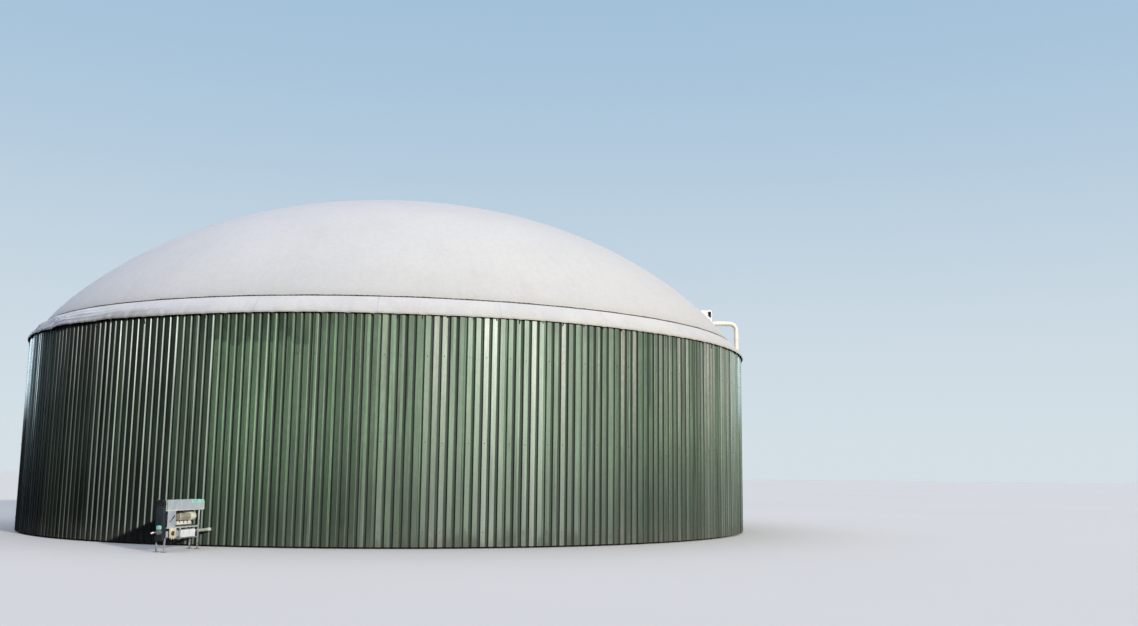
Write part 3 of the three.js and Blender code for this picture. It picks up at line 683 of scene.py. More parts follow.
BLACK_SOIL = (0.03, 0.028, 0.024)
COATS = {
    "outlet_white": ((0.72, 0.72, 0.71), (0.78, 0.78, 0.77), 0.45, 0.22, {}),
    "machine_grey": ((0.28, 0.31, 0.34), (0.36, 0.39, 0.42), 0.50, 0.30, {}),
    "panel_paint": ((0.29, 0.325, 0.375), (0.37, 0.405, 0.46), 0.50, 0.40, {}),
    # The hood's hems: a lighter coat as painted highlight of edges that catch the sun.
    "hem_highlight_paint": ((0.50, 0.49, 0.45), (0.58, 0.57, 0.52), 0.50, 0.25, {}),
    "frame_zinc": ((0.40, 0.42, 0.43), (0.50, 0.52, 0.53), 0.52, 0.40,
                   {"metallic": 0.25, "extra": painted_shade_posts}),
    "bearing_grey": ((0.080, 0.088, 0.090), (0.130, 0.138, 0.140), 0.50, 0.30, {}),
    "shaft_zinc": ((0.36, 0.37, 0.32), (0.46, 0.47, 0.41), 0.50, 0.40, {"metallic": 0.15}),
    "boot_grey": ((0.38, 0.40, 0.34), (0.48, 0.50, 0.43), 0.70, 0.40, {"specular": 0.3}),
    "bearing_white": ((0.62, 0.66, 0.70), (0.70, 0.74, 0.77), 0.48, 0.20, {}),
    "guard_black": ((0.014, 0.019, 0.027), (0.022, 0.030, 0.042), 0.50, 0.25, {"soil": BLACK_SOIL}),
    "cap_black": ((0.006, 0.006, 0.007), (0.012, 0.012, 0.013), 0.55, 0.20, {"soil": BLACK_SOIL}),
    "motor_grey": ((0.340, 0.335, 0.270), (0.420, 0.410, 0.340), 0.52, 0.35, {}),
    "motor_dark": ((0.170, 0.165, 0.125), (0.225, 0.220, 0.170), 0.52, 0.35, {}),
    "plate_steel": ((0.050, 0.050, 0.048), (0.090, 0.088, 0.082), 0.60, 0.35, {"metallic": 0.3}),
    "cream": ((0.52, 0.49, 0.39), (0.60, 0.57, 0.46), 0.45, 0.22, {}),
    "motor_cream": ((0.55, 0.55, 0.46), (0.63, 0.62, 0.53), 0.45, 0.22, {}),
    "pipe_cream": ((0.66, 0.61, 0.49), (0.74, 0.69, 0.57), 0.40, 0.16, {}),
    "rubber": ((0.014, 0.014, 0.015), (0.028, 0.028, 0.028), 0.75, 0.25, {"specular": 0.25}),
    "knob_brown": ((0.052, 0.034, 0.016), (0.076, 0.052, 0.026), 0.45, 0.20, {}),
    "screw_paint": ((0.014, 0.018, 0.013), (0.026, 0.032, 0.022), 0.92, 0.40, {"specular": 0.1}),
    "teal": ((0.20, 0.50, 0.42), (0.26, 0.56, 0.48), 0.48, 0.20, {}),
}
FINISH = {
    "cladding_green": cladding_finish(),
    "membrane": dome_finish(),
    "skirt_white": skirt_finish(),
    "seam_grey": seam_finish(),
    "galvanised": galvanised_finish(),
    "concrete": concrete_finish(),
    "hood_paint": hood_finish(),
}
for name, (base, shade, roughness, dirt, special) in COATS.items():
    FINISH[name] = coated(name + "_coat", base, shade, roughness, dirt, **special)


# Wall cladding

def chamfered(points):
    """Replaces each inner corner of an open outline by two points, BEND before and after it."""
    result = [points[0]]
    for before, here, after in zip(points, points[1:], points[2:]):
        for other in (before, after):
            gap = np.subtract(other, here)
            result.append(tuple(np.add(here, gap * BEND / np.linalg.norm(gap))))
    return result + [points[-1]]


def sheet_section():
    """One sheet from lap to lap, as (along the facet, depth behind the crests) points."""
    half = RIBS_PER_SHEET * RIB_PITCH / 2
    floor, mouth = GROOVE_FLOOR / 2, GROOVE_MOUTH / 2
    points = [(-half - LAP_WIDTH, RIB_DEPTH), (-half + floor, RIB_DEPTH), (-half + mouth, 0.0)]
    for rib in range(1, RIBS_PER_SHEET):
        groove = -half + rib * RIB_PITCH
        points += [(groove - mouth, 0.0), (groove - floor, RIB_DEPTH)]
        points += [(groove + floor, RIB_DEPTH), (groove + mouth, 0.0)]
    lap = RIB_DEPTH - LAP_LIFT
    return chamfered(points + [(half - mouth, 0.0), (half - floor, lap), (half + LAP_WIDTH, lap)])


def sheet_mid_bearing(sheet):
    return LAP_BEARING + (sheet + 0.5) * 360 / SHEETS


def sheet_sun_shade_tone(bearing):
    """Painted sunlight towards the sun, painted shade on the side that stands under trees, and a little
    uneven.
    """
    first = SHEET_SUN_SHADE_TONES[0][0]
    bearings, tones = zip(*SHEET_SUN_SHADE_TONES)
    tone = np.interp((bearing - first) % 360 + first, bearings, tones)
    return float(np.clip(tone + rng.normal(0, TONE_SPREAD), -1, 1)) or 0.01


def clad_sheet(build, section, sheet):
    """One sheet; each rib leans, waves and twists a little, and has its own shade."""
    place = at_bearing(sheet_mid_bearing(sheet), CREST_FACE)
    build.tone = sheet_sun_shade_tone(sheet_mid_bearing(sheet))
    lean, wave = rng.normal(0, 0.0012, RIBS_PER_SHEET + 1), rng.uniform(0, TURN, RIBS_PER_SHEET + 1)
    twist = rng.normal(0, CREST_TWIST, RIBS_PER_SHEET + 1)
    last_rib = RIBS_PER_SHEET - 1
    ribs = [int(np.clip(along / RIB_PITCH + RIBS_PER_SHEET / 2, 0, last_rib)) for along, _ in section]
    rows = []
    for z in np.linspace(CLADDING_BOTTOM, CLADDING_TOP, SHEET_ROWS + 1):
        front, back = [], []
        for (along, depth), rib in zip(section, ribs):
            sway = 0.0009 * math.sin(2.1 * z + wave[rib]) + lean[rib] * math.sin(0.6 * z + wave[rib])
            if depth < RIB_DEPTH / 2:
                from_middle = along - (rib - last_rib / 2) * RIB_PITCH
                turn = twist[rib] * (0.75 + 0.25 * math.sin(0.9 * z + wave[rib]))
                sway += from_middle * turn - abs(turn) * RIB_PITCH * 0.29
            front.append(place(-depth + sway, along + 0.8 * sway, z))
            back.append(place(-depth + sway - SHEET_THICKNESS, along + 0.8 * sway, z))
        rows.append(front + back[::-1])
    start, ring = len(build.verts), len(rows[0])
    build.grid(rows, closed_columns=True)
    fade = rng.normal(0, CREST_FADE, RIBS_PER_SHEET)
    for i in range(SHEET_ROWS * ring):
        build.tones[i - SHEET_ROWS * ring] += fade[(ribs + ribs[::-1])[i % ring]]
    for base in (start, start + SHEET_ROWS * ring):
        for i in range(base, base + len(section) - 1):
            far = 2 * base + ring - 1 - i
            build.faces.append((i, i + 1, far - 1, far))
            build.tones.append(build.tone)


def clad_segment(number):
    build = Build()
    section = sheet_section()
    per_segment = SHEETS // SEGMENTS
    for sheet in range(number * per_segment, (number + 1) * per_segment):
        clad_sheet(build, section, sheet)
    build.piece(f"cladding_sheets_{number + 1}", "cladding_green", smooth=None,
                replaces=[f"cladding_{number + 1}"])


def cladding_battens():
    """The rings behind the cladding, kept clear of the sheets' laps."""
    for level_name in ("lower", "middle", "upper"):
        node = f"cladding_rail_{level_name}"
        points = np.array([v.co for v in frame["nodes"][node].data.vertices])
        radii, z = np.hypot(points[:, 0], points[:, 1]), points[:, 2]
        inner, outer = radii.min(), radii.max() * math.cos(math.pi / SHEETS) - RAIL_CLEARANCE
        section = ((inner, z.min()), (outer, z.min()), (outer, z.max()), (inner, z.max()))
        build = Build()
        rows = [[ring_point(r, 180 * k / SHEETS, level) for k in range(2 * SHEETS)] for r, level in section]
        build.grid(rows, closed_rows=True, closed_columns=True)
        build.piece(f"batten_ring_{level_name}", "galvanised", smooth=None, replaces=[node])


def cladding_screws():
    """Painted hexagon screws on their washers, in three rows."""
    build = Build()
    for sheet in range(SHEETS):
        build.place = at_bearing(sheet_mid_bearing(sheet), CREST_FACE)
        for level in SCREW_LEVELS:
            for crest in SCREWED_CRESTS:
                along = (crest - (RIBS_PER_SHEET - 1) / 2) * RIB_PITCH + rng.normal(0, 0.005)
                build.bolt((0.0002, along, level + rng.normal(0, 0.008)), (1, 0, 0), SCREW_SIZE)
    build.piece("cladding_screws", "screw_paint", "cladding_green")


for number in range(SEGMENTS):
    clad_segment(number)
cladding_battens()
cladding_screws()


# Dome, seam and skirt

def dome_level(radius):
    reach = max(1 - (radius / DOME_RADIUS) ** DOME_FULLNESS, 0)
    return DOME_FOOT + DOME_RISE * reach ** DOME_ROUNDNESS


def dome_surface(inset):
    """Rows of points from the hidden foot to the last small ring round the crown."""
    turn = np.arange(GORES * GORE_COLUMNS) / GORE_COLUMNS
    swell = GORE_SWELL * (1 - (2 * np.abs(turn % 1 - 0.5)) ** 4)
    bearings = 360 * turn / GORES
    grid = [[ring_point(DOME_RADIUS - inset, bearing, DOME_HIDDEN_FOOT) for bearing in bearings]]
    for i in range(DOME_ROWS):
        share = math.sin(math.pi / 2 * (1 - i / DOME_ROWS))
        radius = DOME_RADIUS * share
        z = dome_level(radius) - inset
        slope = min((DOME_RADIUS - radius) * 4, 1) * share
        grid.append([ring_point(radius - inset * share, b, z + s * slope) for b, s in zip(bearings, swell)])
    return grid


def dome():
    build = Build()
    outer = dome_surface(0.0)
    build.grid(outer[::-1] + dome_surface(MEMBRANE), closed_columns=True)
    count, total = len(outer[0]), len(build.verts)
    crown = DOME_FOOT + DOME_RISE
    build.add([(0.0, 0.0, crown), (0.0, 0.0, crown - MEMBRANE)], [])
    for c in range(count):
        after = (c + 1) % count
        build.faces.append((c, after, total))
        build.faces.append((total - count + after, total - count + c, total + 1))
        build.tones.extend([0.0, 0.0])
    return build.piece("dome_membrane", "membrane", smooth=60, replaces=["membrane_dome"])


def skirt_curve(shares):
    """Points at the given shares of the length of the skirt's curve."""
    fine = smooth_curve(SKIRT_CURVE, 24 * (len(SKIRT_CURVE) - 1) + 1)
    length = np.concatenate([[0], np.cumsum(np.linalg.norm(np.diff(fine, axis=0), axis=1))])
    return np.column_stack([np.interp(shares * length[-1], length, fine[:, i]) for i in (0, 1)])


def wave_noise(bearing, down, count, seed):
    """Smooth repeatable folds: waves that fit a whole number of times round the tank."""
    waves = np.random.default_rng(seed)
    total = 0.0
    for _ in range(count):
        turns = waves.integers(18, 150)
        total = total + np.sin(turns * bearing + waves.uniform(-7, 7) * down + waves.uniform(0, TURN))
    return total / math.sqrt(count)


def slack_folds(bearing, down):
    """Deep creases and a ragged hem on the side where the skirt hangs slack."""
    drift = ((bearing - SLACK_MIDDLE + math.pi) % TURN - math.pi) / SLACK_REACH
    slack = np.exp(-(drift**2))
    creases = 1 - 2 * np.abs(np.sin(TURN * (2.1 * down + 0.75 * drift) + 1.2 * np.sin(5.0 * drift))) ** 0.6
    lumps = np.sin(23 * bearing + 5 * down) + np.sin(41 * bearing - 7 * down)
    fold = slack * np.sin(math.pi * down) ** 0.7 * (0.018 * creases + 0.010 * lumps + 0.022)
    return fold, slack * (0.020 * np.sin(29 * bearing + 2) + 0.012 * np.sin(61 * bearing))


def skirt_offsets(bearing, down):
    """How far each point stands out from the skirt's curve, and how far the hem hangs, in metres."""
    spacing = TURN / HOOKS
    from_hook = np.abs((bearing - math.radians(HOOK_BEARING) + spacing / 2) % spacing - spacing / 2) / spacing
    pull = np.exp(-((from_hook / 0.13) ** 2))
    belly = 0.010 * np.sin(math.pi * down) * (0.6 + 0.4 * np.sin(7 * bearing))
    tension = -0.010 * pull * down**3 + 0.006 * (1 - pull) * down**4
    folds = 0.0035 * wave_noise(bearing, down, 9, 3) * np.sin(math.pi * down) ** 0.7
    bead = 0.006 * np.exp(-(((down - 0.045) / 0.03) ** 2)) + 0.004 * np.exp(-(((down - 0.93) / 0.03) ** 2))
    fold, sag = slack_folds(bearing, down)
    droop = 0.0032 * np.cos(TURN * from_hook) - 0.014 * pull - 0.006 * np.sin(11 * bearing + 1)
    return belly + tension + folds + bead + fold, (droop + np.minimum(sag, 0.012)) * down**3


def skirt(number):
    build = Build()
    columns = SKIRT_COLUMNS // SKIRT_PIECES
    start = math.radians(LAP_BEARING) + number * TURN / SKIRT_PIECES
    bearing = start + np.linspace(SKIRT_GAP, TURN / SKIRT_PIECES - SKIRT_GAP, columns + 1)
    down = np.linspace(0, 1, SKIRT_ROWS + 1)
    curve = skirt_curve(down)
    tangent = np.gradient(curve, axis=0)
    tangent /= np.linalg.norm(tangent, axis=1)[:, None]
    offset, droop = skirt_offsets(bearing[None, :], down[:, None])
    sides = []
    for inset in (0.0, MEMBRANE):
        radius = curve[:, :1] - tangent[:, 1:] * (offset - inset)
        z = curve[:, 1:] + tangent[:, :1] * (offset - inset) + droop
        x, y = radius * np.sin(bearing), -radius * np.cos(bearing)
        sides.append([[tuple(p) for p in row] for row in np.stack([x, y, z], axis=-1)])
    rows = sides[0] + sides[1][::-1]
    build.grid(rows, closed_rows=True)
    width, last = columns + 1, len(rows) - 1
    for c in (0, columns):
        for r in range(SKIRT_ROWS):
            corners = (r, r + 1, last - r - 1, last - r)
            build.faces.append(tuple(row * width + c for row in corners))
            build.tones.append(0.0)
    return build.piece(f"skirt_membrane_{number + 1}", "skirt_white", smooth=50, replaces=["membrane_skirt"])


def seam():
    """The welded strip on the dome's foot, darkened by dirt and by painted shade of the gap between the dome
    and the skirt, with the slight waver of a hand weld.
    """
    build = Build()
    low, high = [np.array([r, dome_level(r)]) for r in (DOME_RADIUS - 0.0006, DOME_RADIUS - 0.0040)]
    along = (high - low) / np.linalg.norm(high - low)
    out = np.array([along[1], -along[0]])
    foot = np.array([DOME_RADIUS + 0.001, DOME_FOOT + 0.008])
    rows = []
    for bearing in 360 * np.arange(SEAM_COLUMNS) / SEAM_COLUMNS:
        angle = math.radians(bearing)
        waver = 0.002 * math.sin(31 * angle) + 0.0016 * math.sin(87 * angle + 1)
        waver += 0.0012 * math.sin(163 * angle)
        width = SEAM_WIDTH + 0.003 * math.sin(53 * angle) + 0.002 * math.sin(131 * angle + 2)
        ring = []
        for across, lift in ((0.0, 0.0), (0.0, 1.0), (0.3, 1.5), (0.8, 1.0), (1.0, 0.0)):
            r, z = foot + along * (width * across + waver) + out * lift * SEAM_THICKNESS
            ring.append(ring_point(r, bearing, z))
        rows.append(ring)
    build.grid(rows, closed_rows=True, closed_columns=True)
    return build.piece("seam_weld", "seam_grey", smooth=70, replaces=["seam_strip"])


def hem_hooks():
    """Rubber straps that pull the skirt's hem down, each with its hook on the cladding."""
    build = Build()
    thick, wide = STRAP_HALF
    for hook in range(HOOKS):
        bearing = HOOK_BEARING + hook * 360 / HOOKS + rng.normal(0, 0.06)
        length, lean = rng.uniform(0.0, 1.0) ** 2 * 0.12 + 0.02, rng.normal(0, 0.014)
        build.place = at_bearing(bearing)
        foot, wall = STRAP_FOOT - length, CREST_FACE + 0.006
        strap = [(x, lean * share, z) for x, share, z in STRAP_PLACES] + [(wall + 0.006, lean, foot)]
        build.grid([[(x - thick, y - wide, z), (x - thick, y + wide, z), (x + thick, y + wide, z),
                     (x + thick, y - wide, z)] for x, y, z in strap], closed_columns=True, caps=True)
        low = (wall - 0.006, lean - HOOK_HALF, foot - 0.022)
        build.box(low, (wall + 0.010, lean + HOOK_HALF, foot + 0.006), 0.003)
    return build.piece("hem_straps", "rubber", smooth=30)


def skin_area(obj):
    """Half of a closed thin piece's surface, in square metres."""
    return sum(face.area for face in obj.data.polygons) / 2


dome_piece = dome()
skirt_pieces = [skirt(number) for number in range(SKIRT_PIECES)]
seam_piece = seam()
strap_piece = hem_hooks()
for number, piece in enumerate(skirt_pieces):
    round(skin_area(piece), 2)


# Mixer drive: x is the distance out from the crests, y runs along the wall

MACHINE = at_bearing(MIXER_BEARING, CREST_FACE)


def span(name, bearing=MIXER_BEARING, base=CREST_FACE):
    """A CAD node's low and high corners in the frame that at_bearing gives."""
    points = np.array([v.co for v in frame["nodes"][name].data.vertices])
    local = np.column_stack([points @ outward(bearing) - base, points @ sideways(bearing), points[:, 2]])
    return local.min(axis=0), local.max(axis=0)


def rounded(low, high, corners, steps=5):
    """Points round a rectangle; corner radii run from bottom left round to top left."""
    (x0, y0), (x1, y1) = low, high
    bl, br, tr, tl = corners if hasattr(corners, "__len__") else (corners,) * 4
    points = []
    for (cx, cy), radius, start in (((x0 + bl, y0 + bl), bl, 180), ((x1 - br, y0 + br), br, 270),
                                    ((x1 - tr, y1 - tr), tr, 0), ((x0 + tl, y1 - tl), tl, 90)):
        for angle in np.radians(np.linspace(start, start + 90, steps + 1)):
            points.append((cx + radius * math.cos(angle), cy + radius * math.sin(angle)))
    return points


def hood():
    """Folded sheet: the CAD shell with hemmed rims, a raised end band and rivets."""
    low, high = span("mixer_hood")
    build = Build(MACHINE)
    for side, face in ((-1, low[1]), (1, high[1])):
        near, far = sorted((face - 0.0005 * side, face + 0.0045 * side))
        build.box((low[0] + 0.004, near, low[2] - 0.002), (high[0] - 0.002, far, low[2] + 0.014), 0.002)
        for x, drop in ((low[0] + 0.004, 0.055), (high[0] - 0.020, 0.006)):
            build.box((x, near, low[2] + 0.012), (x + 0.016, far, high[2] - drop), 0.002)
        for x in np.linspace(low[0] + 0.09, high[0] - 0.09, 9):
            build.disc((x, face, low[2] + 0.026), (0, side, 0), HOOD_RIVET, 0.003, 10, 0.0012)
    build.box((high[0] - 0.020, low[1] - 0.002, high[2] - 0.0005),
              (high[0] - 0.003, high[1] + 0.002, high[2] + 0.003), 0.001)
    # The hems get a lighter coat: painted highlight of edges that catch the sun.
    build.piece("hood_hems", "hem_highlight_paint", "machine_grey")


def belt_guard():
    """A welded case on a bolted flange, with a separate rounded cap."""
    (x0, y0, z0), (x1, y1, z1) = span("mixer_belt_guard")
    split = z1 - GUARD_CAP
    case = Build(MACHINE)
    case.slab(rounded((y0, z0), (y1, split), (0.020, 0.020, 0.004, 0.004)), x0 + 0.004, x1 - 0.003, 0.006)
    flange = rounded((y0 - 0.012, z0 - 0.010), (y1, split), (0.02, 0.02, 0.002, 0.002))
    case.slab(flange, x0, x0 + 0.005, 0.001)
    for z in np.linspace(z0 + 0.03, split - 0.04, 7):
        case.bolt((x0 + 0.005, y0 - 0.004, z), (1, 0, 0), 0.007)
    for z in (z0 + 0.16, z0 + 0.42):
        case.box((x1 - 0.004, y0 + 0.03, z), (x1 - 0.0005, y1 - 0.03, z + 0.007), 0.0015)
    case.piece("belt_guard_case", "guard_black", replaces=["mixer_belt_guard"])
    cap = Build(MACHINE)
    outline = rounded((y0 - 0.003, split - 0.012), (y1, z1), (0.003, 0.003, 0.058, 0.058), 8)
    cap.slab(outline, x0 + 0.002, x1, 0.006)
    for y in (y0 + 0.02, y1 - 0.02):
        cap.bolt((x1 - 0.0005, y, split + 0.012), (1, 0, 0), 0.006)
    cap.piece("belt_guard_cap", "cap_black", "guard_black", replaces=["mixer_belt_guard"])


def fin_ring(x, level, root, tip, fins=30):
    """A ring with a fin every step; a plain ring where root and tip are equal."""
    ring = []
    for k in range(fins):
        for share, radius in ((0.0, root), (0.30, root), (0.40, tip), (0.72, tip), (0.82, root)):
            angle = TURN * (k + share) / fins
            ring.append((x, radius * math.cos(angle), level + radius * math.sin(angle)))
    return ring


def motor_body(low, level, radius):
    """The finned stator with its end bell, connection box and four lugs."""
    body = Build(MACHINE)
    rings = [(low + x, root, tip) for x, root, tip in (
        (0.0, 0.62, 0.62), (0.004, 0.84, 0.84), (0.012, 0.93, 0.93), (0.045, 0.96, 0.96),
        (0.047, 0.82, 0.96), (0.055, 0.82, 1.0))]
    rings += [(STATOR_END - back, root, tip) for back, root, tip in (
        (0.055, 0.82, 1.0), (0.047, 0.82, 0.96), (0.045, 0.97, 0.97), (0.004, 0.97, 0.97), (0.0, 0.93, 0.93))]
    rows = [fin_ring(x, level, radius * root, radius * tip) for x, root, tip in rings]
    body.grid(rows, closed_columns=True, caps=True)
    start, end, half = CONNECTION_BOX
    lid = level + radius + 0.034
    body.box((start, -half, level + radius * 0.80), (end, half, lid), 0.006)
    body.box((start - 0.006, -half - 0.006, lid - 0.002), (end + 0.006, half + 0.006, lid + 0.010), 0.004)
    for x in (start + 0.006, end - 0.006):
        for y in (0.004 - half, half - 0.004):
            body.disc((x, y, lid + 0.010), (0, 0, 1), 0.005, 0.003, 10, 0.001)
    body.tube([((start + end) / 2, half + y, lid - 0.022) for y in (-0.002, 0.020)], 0.013, 6)
    for angle in np.radians((45, 135, 225, 315)):
        y, z = radius * 0.93 * math.cos(angle), level + radius * 0.93 * math.sin(angle)
        far = (STATOR_END - 0.006, y + 0.009, z + 0.009)
        body.box((STATOR_END - 0.040, y - 0.009, z - 0.009), far, 0.003)
    body.piece("motor_body", "motor_grey", smooth=28, replaces=["mixer_motor"])


def motor_drive_end(level, radius, shaft_end):
    """The turned drive end with its neck, its flange of bolts and the shaft."""
    drive = Build(MACHINE)
    profile = [(STATOR_END + x, share) for x, share in (
        (0.001, 0.90), (0.010, 0.96), (0.022, 0.96), (0.024, 0.68))]
    profile += [(MOTOR_OUTER_END + x, share) for x, share in (
        (-0.058, 0.68), (-0.055, 0.92), (-0.006, 0.92), (0.0, 0.86),
        (0.001, 0.34), (0.060, 0.34), (0.062, 0.26))]
    drive.turned((0, 0, level), radius, profile + [(shaft_end, 0.26)], MOTOR_ROUND)
    drive.bolts((MOTOR_OUTER_END, 0, level), (1, 0, 0), (0, 1, 0), radius * 0.78, 6, 0.009)
    drive.piece("motor_drive_end", "motor_dark", "motor_grey", smooth=40, replaces=["mixer_motor"])


def fan_cover(level):
    """A pressed cover with a rolled bead and raised rings on its end."""
    low, high = span("mixer_motor_fan_cover")
    radius, start, end = (high[2] - low[2]) / 2, low[0], high[0]
    cover = Build(MACHINE)
    profile = [(start + 0.001, 0.60), (start + 0.002, 0.80), (start + 0.009, 0.92), (start + 0.028, 0.99)]
    profile += [(end + x, share) for x, share in (
        (-0.030, 1.0), (-0.029, 0.985), (-0.026, 0.985), (-0.025, 1.0), (-0.002, 1.0), (0.0, 0.97))]
    cover.turned((0, 0, level), radius, profile, MOTOR_ROUND)
    for ring in (0.30, 0.45, 0.60, 0.75):
        rows = []
        for turn in (TURN * k / 6 for k in range(6)):
            x, r = start - 0.004 * math.sin(turn), radius * (ring + 0.03 * math.cos(turn))
            around = (TURN * k / 32 for k in range(32))
            rows.append([(x, r * math.cos(angle), level + r * math.sin(angle)) for angle in around])
        cover.grid(rows, closed_rows=True, closed_columns=True)
    cover.piece("motor_fan_cover", "motor_cream", "cream", replaces=["mixer_motor_fan_cover"])


def motor():
    low, high = span("mixer_motor")
    level, radius = (low[2] + high[2]) / 2, (high[2] - low[2]) / 2
    motor_body(low[0], level, radius)
    motor_drive_end(level, radius, high[0])
    fan_cover(level)


def motor_feet():
    """Cast feet with lugs under the motor, and the bolts that hold them to the plate."""
    low, high = span("mixer_motor_feet")
    build = Build(MACHINE)
    for side in (-1, 1):
        near, far = sorted((side * 0.030, side * high[1]))
        build.box((low[0], near, low[2]), (high[0], far, low[2] + 0.030), 0.004)
        inside, outside = sorted((side * 0.034, side * (high[1] - 0.006)))
        for x in np.linspace(low[0] + 0.005, high[0] - 0.075, 4):
            build.box((x, inside, low[2] + 0.028), (x + 0.070, outside, high[2] - 0.018), 0.008)
        for x in (low[0] + 0.10, low[0] + 0.24, high[0] - 0.24, high[0] - 0.10):
            build.bolt((x, side * (high[1] - 0.014), low[2] + 0.030), (0, 0, 1), 0.010)
    build.piece("motor_feet_cast", "motor_cream", "cream", replaces=["mixer_motor_feet"])


def side_panel():
    """A bolted sheet with folded edges, and the stay that holds it open."""
    (x0, y0, z0), (x1, face, z1) = span("mixer_side_panel")
    build = Build(MACHINE)
    build.slab(rounded((x0, z0), (x1, z1), 0.008), y0, face, 0.0015, axis="y")
    for x in (x0 + 0.022, x1 - 0.022):
        for z in (z0 + 0.022, (z0 + z1) / 2, z1 - 0.022):
            build.bolt((x, face, z), (0, 1, 0), 0.008)
    for start in (x0 + 0.001, x1 - 0.006):
        build.box((start, face - 0.001, z0 + 0.01), (start + 0.005, face + 0.004, z1 - 0.01), 0.001)
    build.piece("side_panel_sheet", "panel_paint", "machine_grey", replaces=["mixer_side_panel"])
    stay = Build(MACHINE)
    start = np.array([x0 + 0.058, face + 0.012, z1 - 0.112])
    end = np.array([x1 - 0.093, face + 0.012, z1 - 0.233])
    points = [start + (end - start) * share for share in (0, 0.04, 0.05, 0.55, 0.56, 0.96, 1)]
    stay.tube(points, [0.004, 0.004, 0.011, 0.011, 0.006, 0.006, 0.004], 12)
    for x, _, z in (start, end):
        stay.disc((x, face, z), (0, 1, 0), 0.013, 0.016, 14, 0.003)
    stay.piece("panel_stay", "rubber", smooth=40)


def isolator():
    """Moulded case with a lid, its screws, a rotary handle on a round plate, and two glands."""
    (x0, y0, z0), (x1, face, z1) = span("isolator_box")
    lid, middle = face - 0.020, (y0 + face) / 2
    case = Build(MACHINE)
    outline = rounded((x0, z0), (x1, z1), 0.020)
    case.slab(outline, y0, lid - 0.0015, 0.003, axis="y")
    inner = rounded((x0 + 0.003, z0 + 0.003), (x1 - 0.003, z1 - 0.003), 0.018)
    case.slab(inner, lid - 0.003, lid + 0.001, 0.0, axis="y")
    case.slab(outline, lid, face, 0.006, axis="y")
    for x in (x0 + 0.018, x1 - 0.018):
        for z in (z0 + 0.018, z1 - 0.018):
            case.disc((x, face - 0.002, z), (0, 1, 0), 0.0065, 0.004, 12, 0.001)
    for x in (x0 + 0.06, x1 - 0.06):
        case.tube([(x, middle, z0 + 0.002), (x, middle, z0 - 0.006)], 0.016, 6)
        case.tube([(x, middle, z0 - 0.005), (x, middle, z0 - 0.026)], [0.013, 0.011], 14)
    case.piece("isolator_case", "cream", replaces=["isolator_box"])
    low, high = span("isolator_knob")
    x, y, z = (low[0] + high[0]) / 2, low[1], (low[2] + high[2]) / 2
    radius = (high[2] - low[2]) / 2 * KNOB_PLATE
    knob = Build(MACHINE)
    profile = [(y + out, share) for out, share in (
        (0.0, 1.0), (0.005, 1.0), (0.007, 0.94), (0.008, 0.74), (0.024, 0.70), (0.027, 0.62))]
    knob.turned((x, 0, z), radius, profile, axis=1)
    grip = rounded((x - 0.011, z - radius * 0.96), (x + 0.011, z + radius * 0.96), 0.010)
    knob.slab(grip, y + 0.020, high[1], 0.003, axis="y")
    knob.piece("isolator_handle", "knob_brown", "rubber", smooth=40, replaces=["isolator_knob"])


def conduit():
    """A bent conduit from the isolator, up behind the side panel, to the motor's connection box."""
    x = span("isolator_box")[0][0] + 0.045
    turns = [(x, 0.088, 0.45), (x, 0.088, 0.62), (x - 0.01, 0.092, 0.74), (x - 0.09, 0.100, 0.82),
             (1.45, 0.100, 0.846), (1.25, 0.100, 0.846), (1.20, 0.094, 0.844), (1.19, 0.078, 0.844)]
    build = Build(MACHINE)
    build.tube(smooth_curve(turns, 40), 0.009, 12)
    build.piece("motor_conduit", "rubber", smooth=50)


def outer_bearing():
    """The shaft's outer bearing, its cap with a grease nipple, and its lever."""
    low, high = span("mixer_outer_bearing")
    y, z, radius = (low[1] + high[1]) / 2, (low[2] + high[2]) / 2, (high[2] - low[2]) / 2
    outer = Build(MACHINE)
    profile = [(low[0], 0.98), (low[0] + 0.010, 0.98), (low[0] + 0.011, 0.86)]
    profile += [(high[0] - back, share) for back, share in (
        (0.016, 0.84), (0.015, 0.94), (0.004, 0.94), (0.001, 0.88), (0.0005, 0.40), (0.0, 0.36))]
    outer.turned((0, y, z), radius, profile, 32)
    outer.bolts((high[0] - 0.002, y, z), (1, 0, 0), (0, 1, 0), radius * 0.66, 6, 0.007, 0.5)
    outer.piece("outer_bearing_case", "bearing_grey", "machine_grey",
                replaces=["mixer_outer_bearing"])
    low, high = span("mixer_bearing_cap")
    cap = Build(MACHINE)
    cap.slab(rounded(low[1:], high[1:], (0.004, 0.004, 0.020, 0.020)), low[0], high[0], 0.006)
    middle = (low + high) / 2
    cap.disc((middle[0], middle[1], high[2] - 0.001), (0, 0, 1), 0.016, 0.008, 6, 0.001)
    cap.piece("bearing_cap_cover", "teal", replaces=["mixer_bearing_cap"])
    lever = Build(MACHINE)
    x = span("mixer_outer_bearing")[1][0] - 0.012
    rod = [(x, y - radius * 0.6, z), (x, y - 0.080, z - 0.002), (x, y - 0.118, z - 0.009)]
    lever.tube(smooth_curve(rod, 8), 0.006, 10)
    handle = [(x, y - 0.112, z - 0.008), (x, y - 0.116, z - 0.009), (x, y - 0.160, z - 0.026),
              (x, y - 0.165, z - 0.028)]
    lever.tube(handle, [0.010, 0.017, 0.021, 0.012], 14)
    lever.piece("bearing_lever", "outlet_white", "machine_grey", smooth=45)


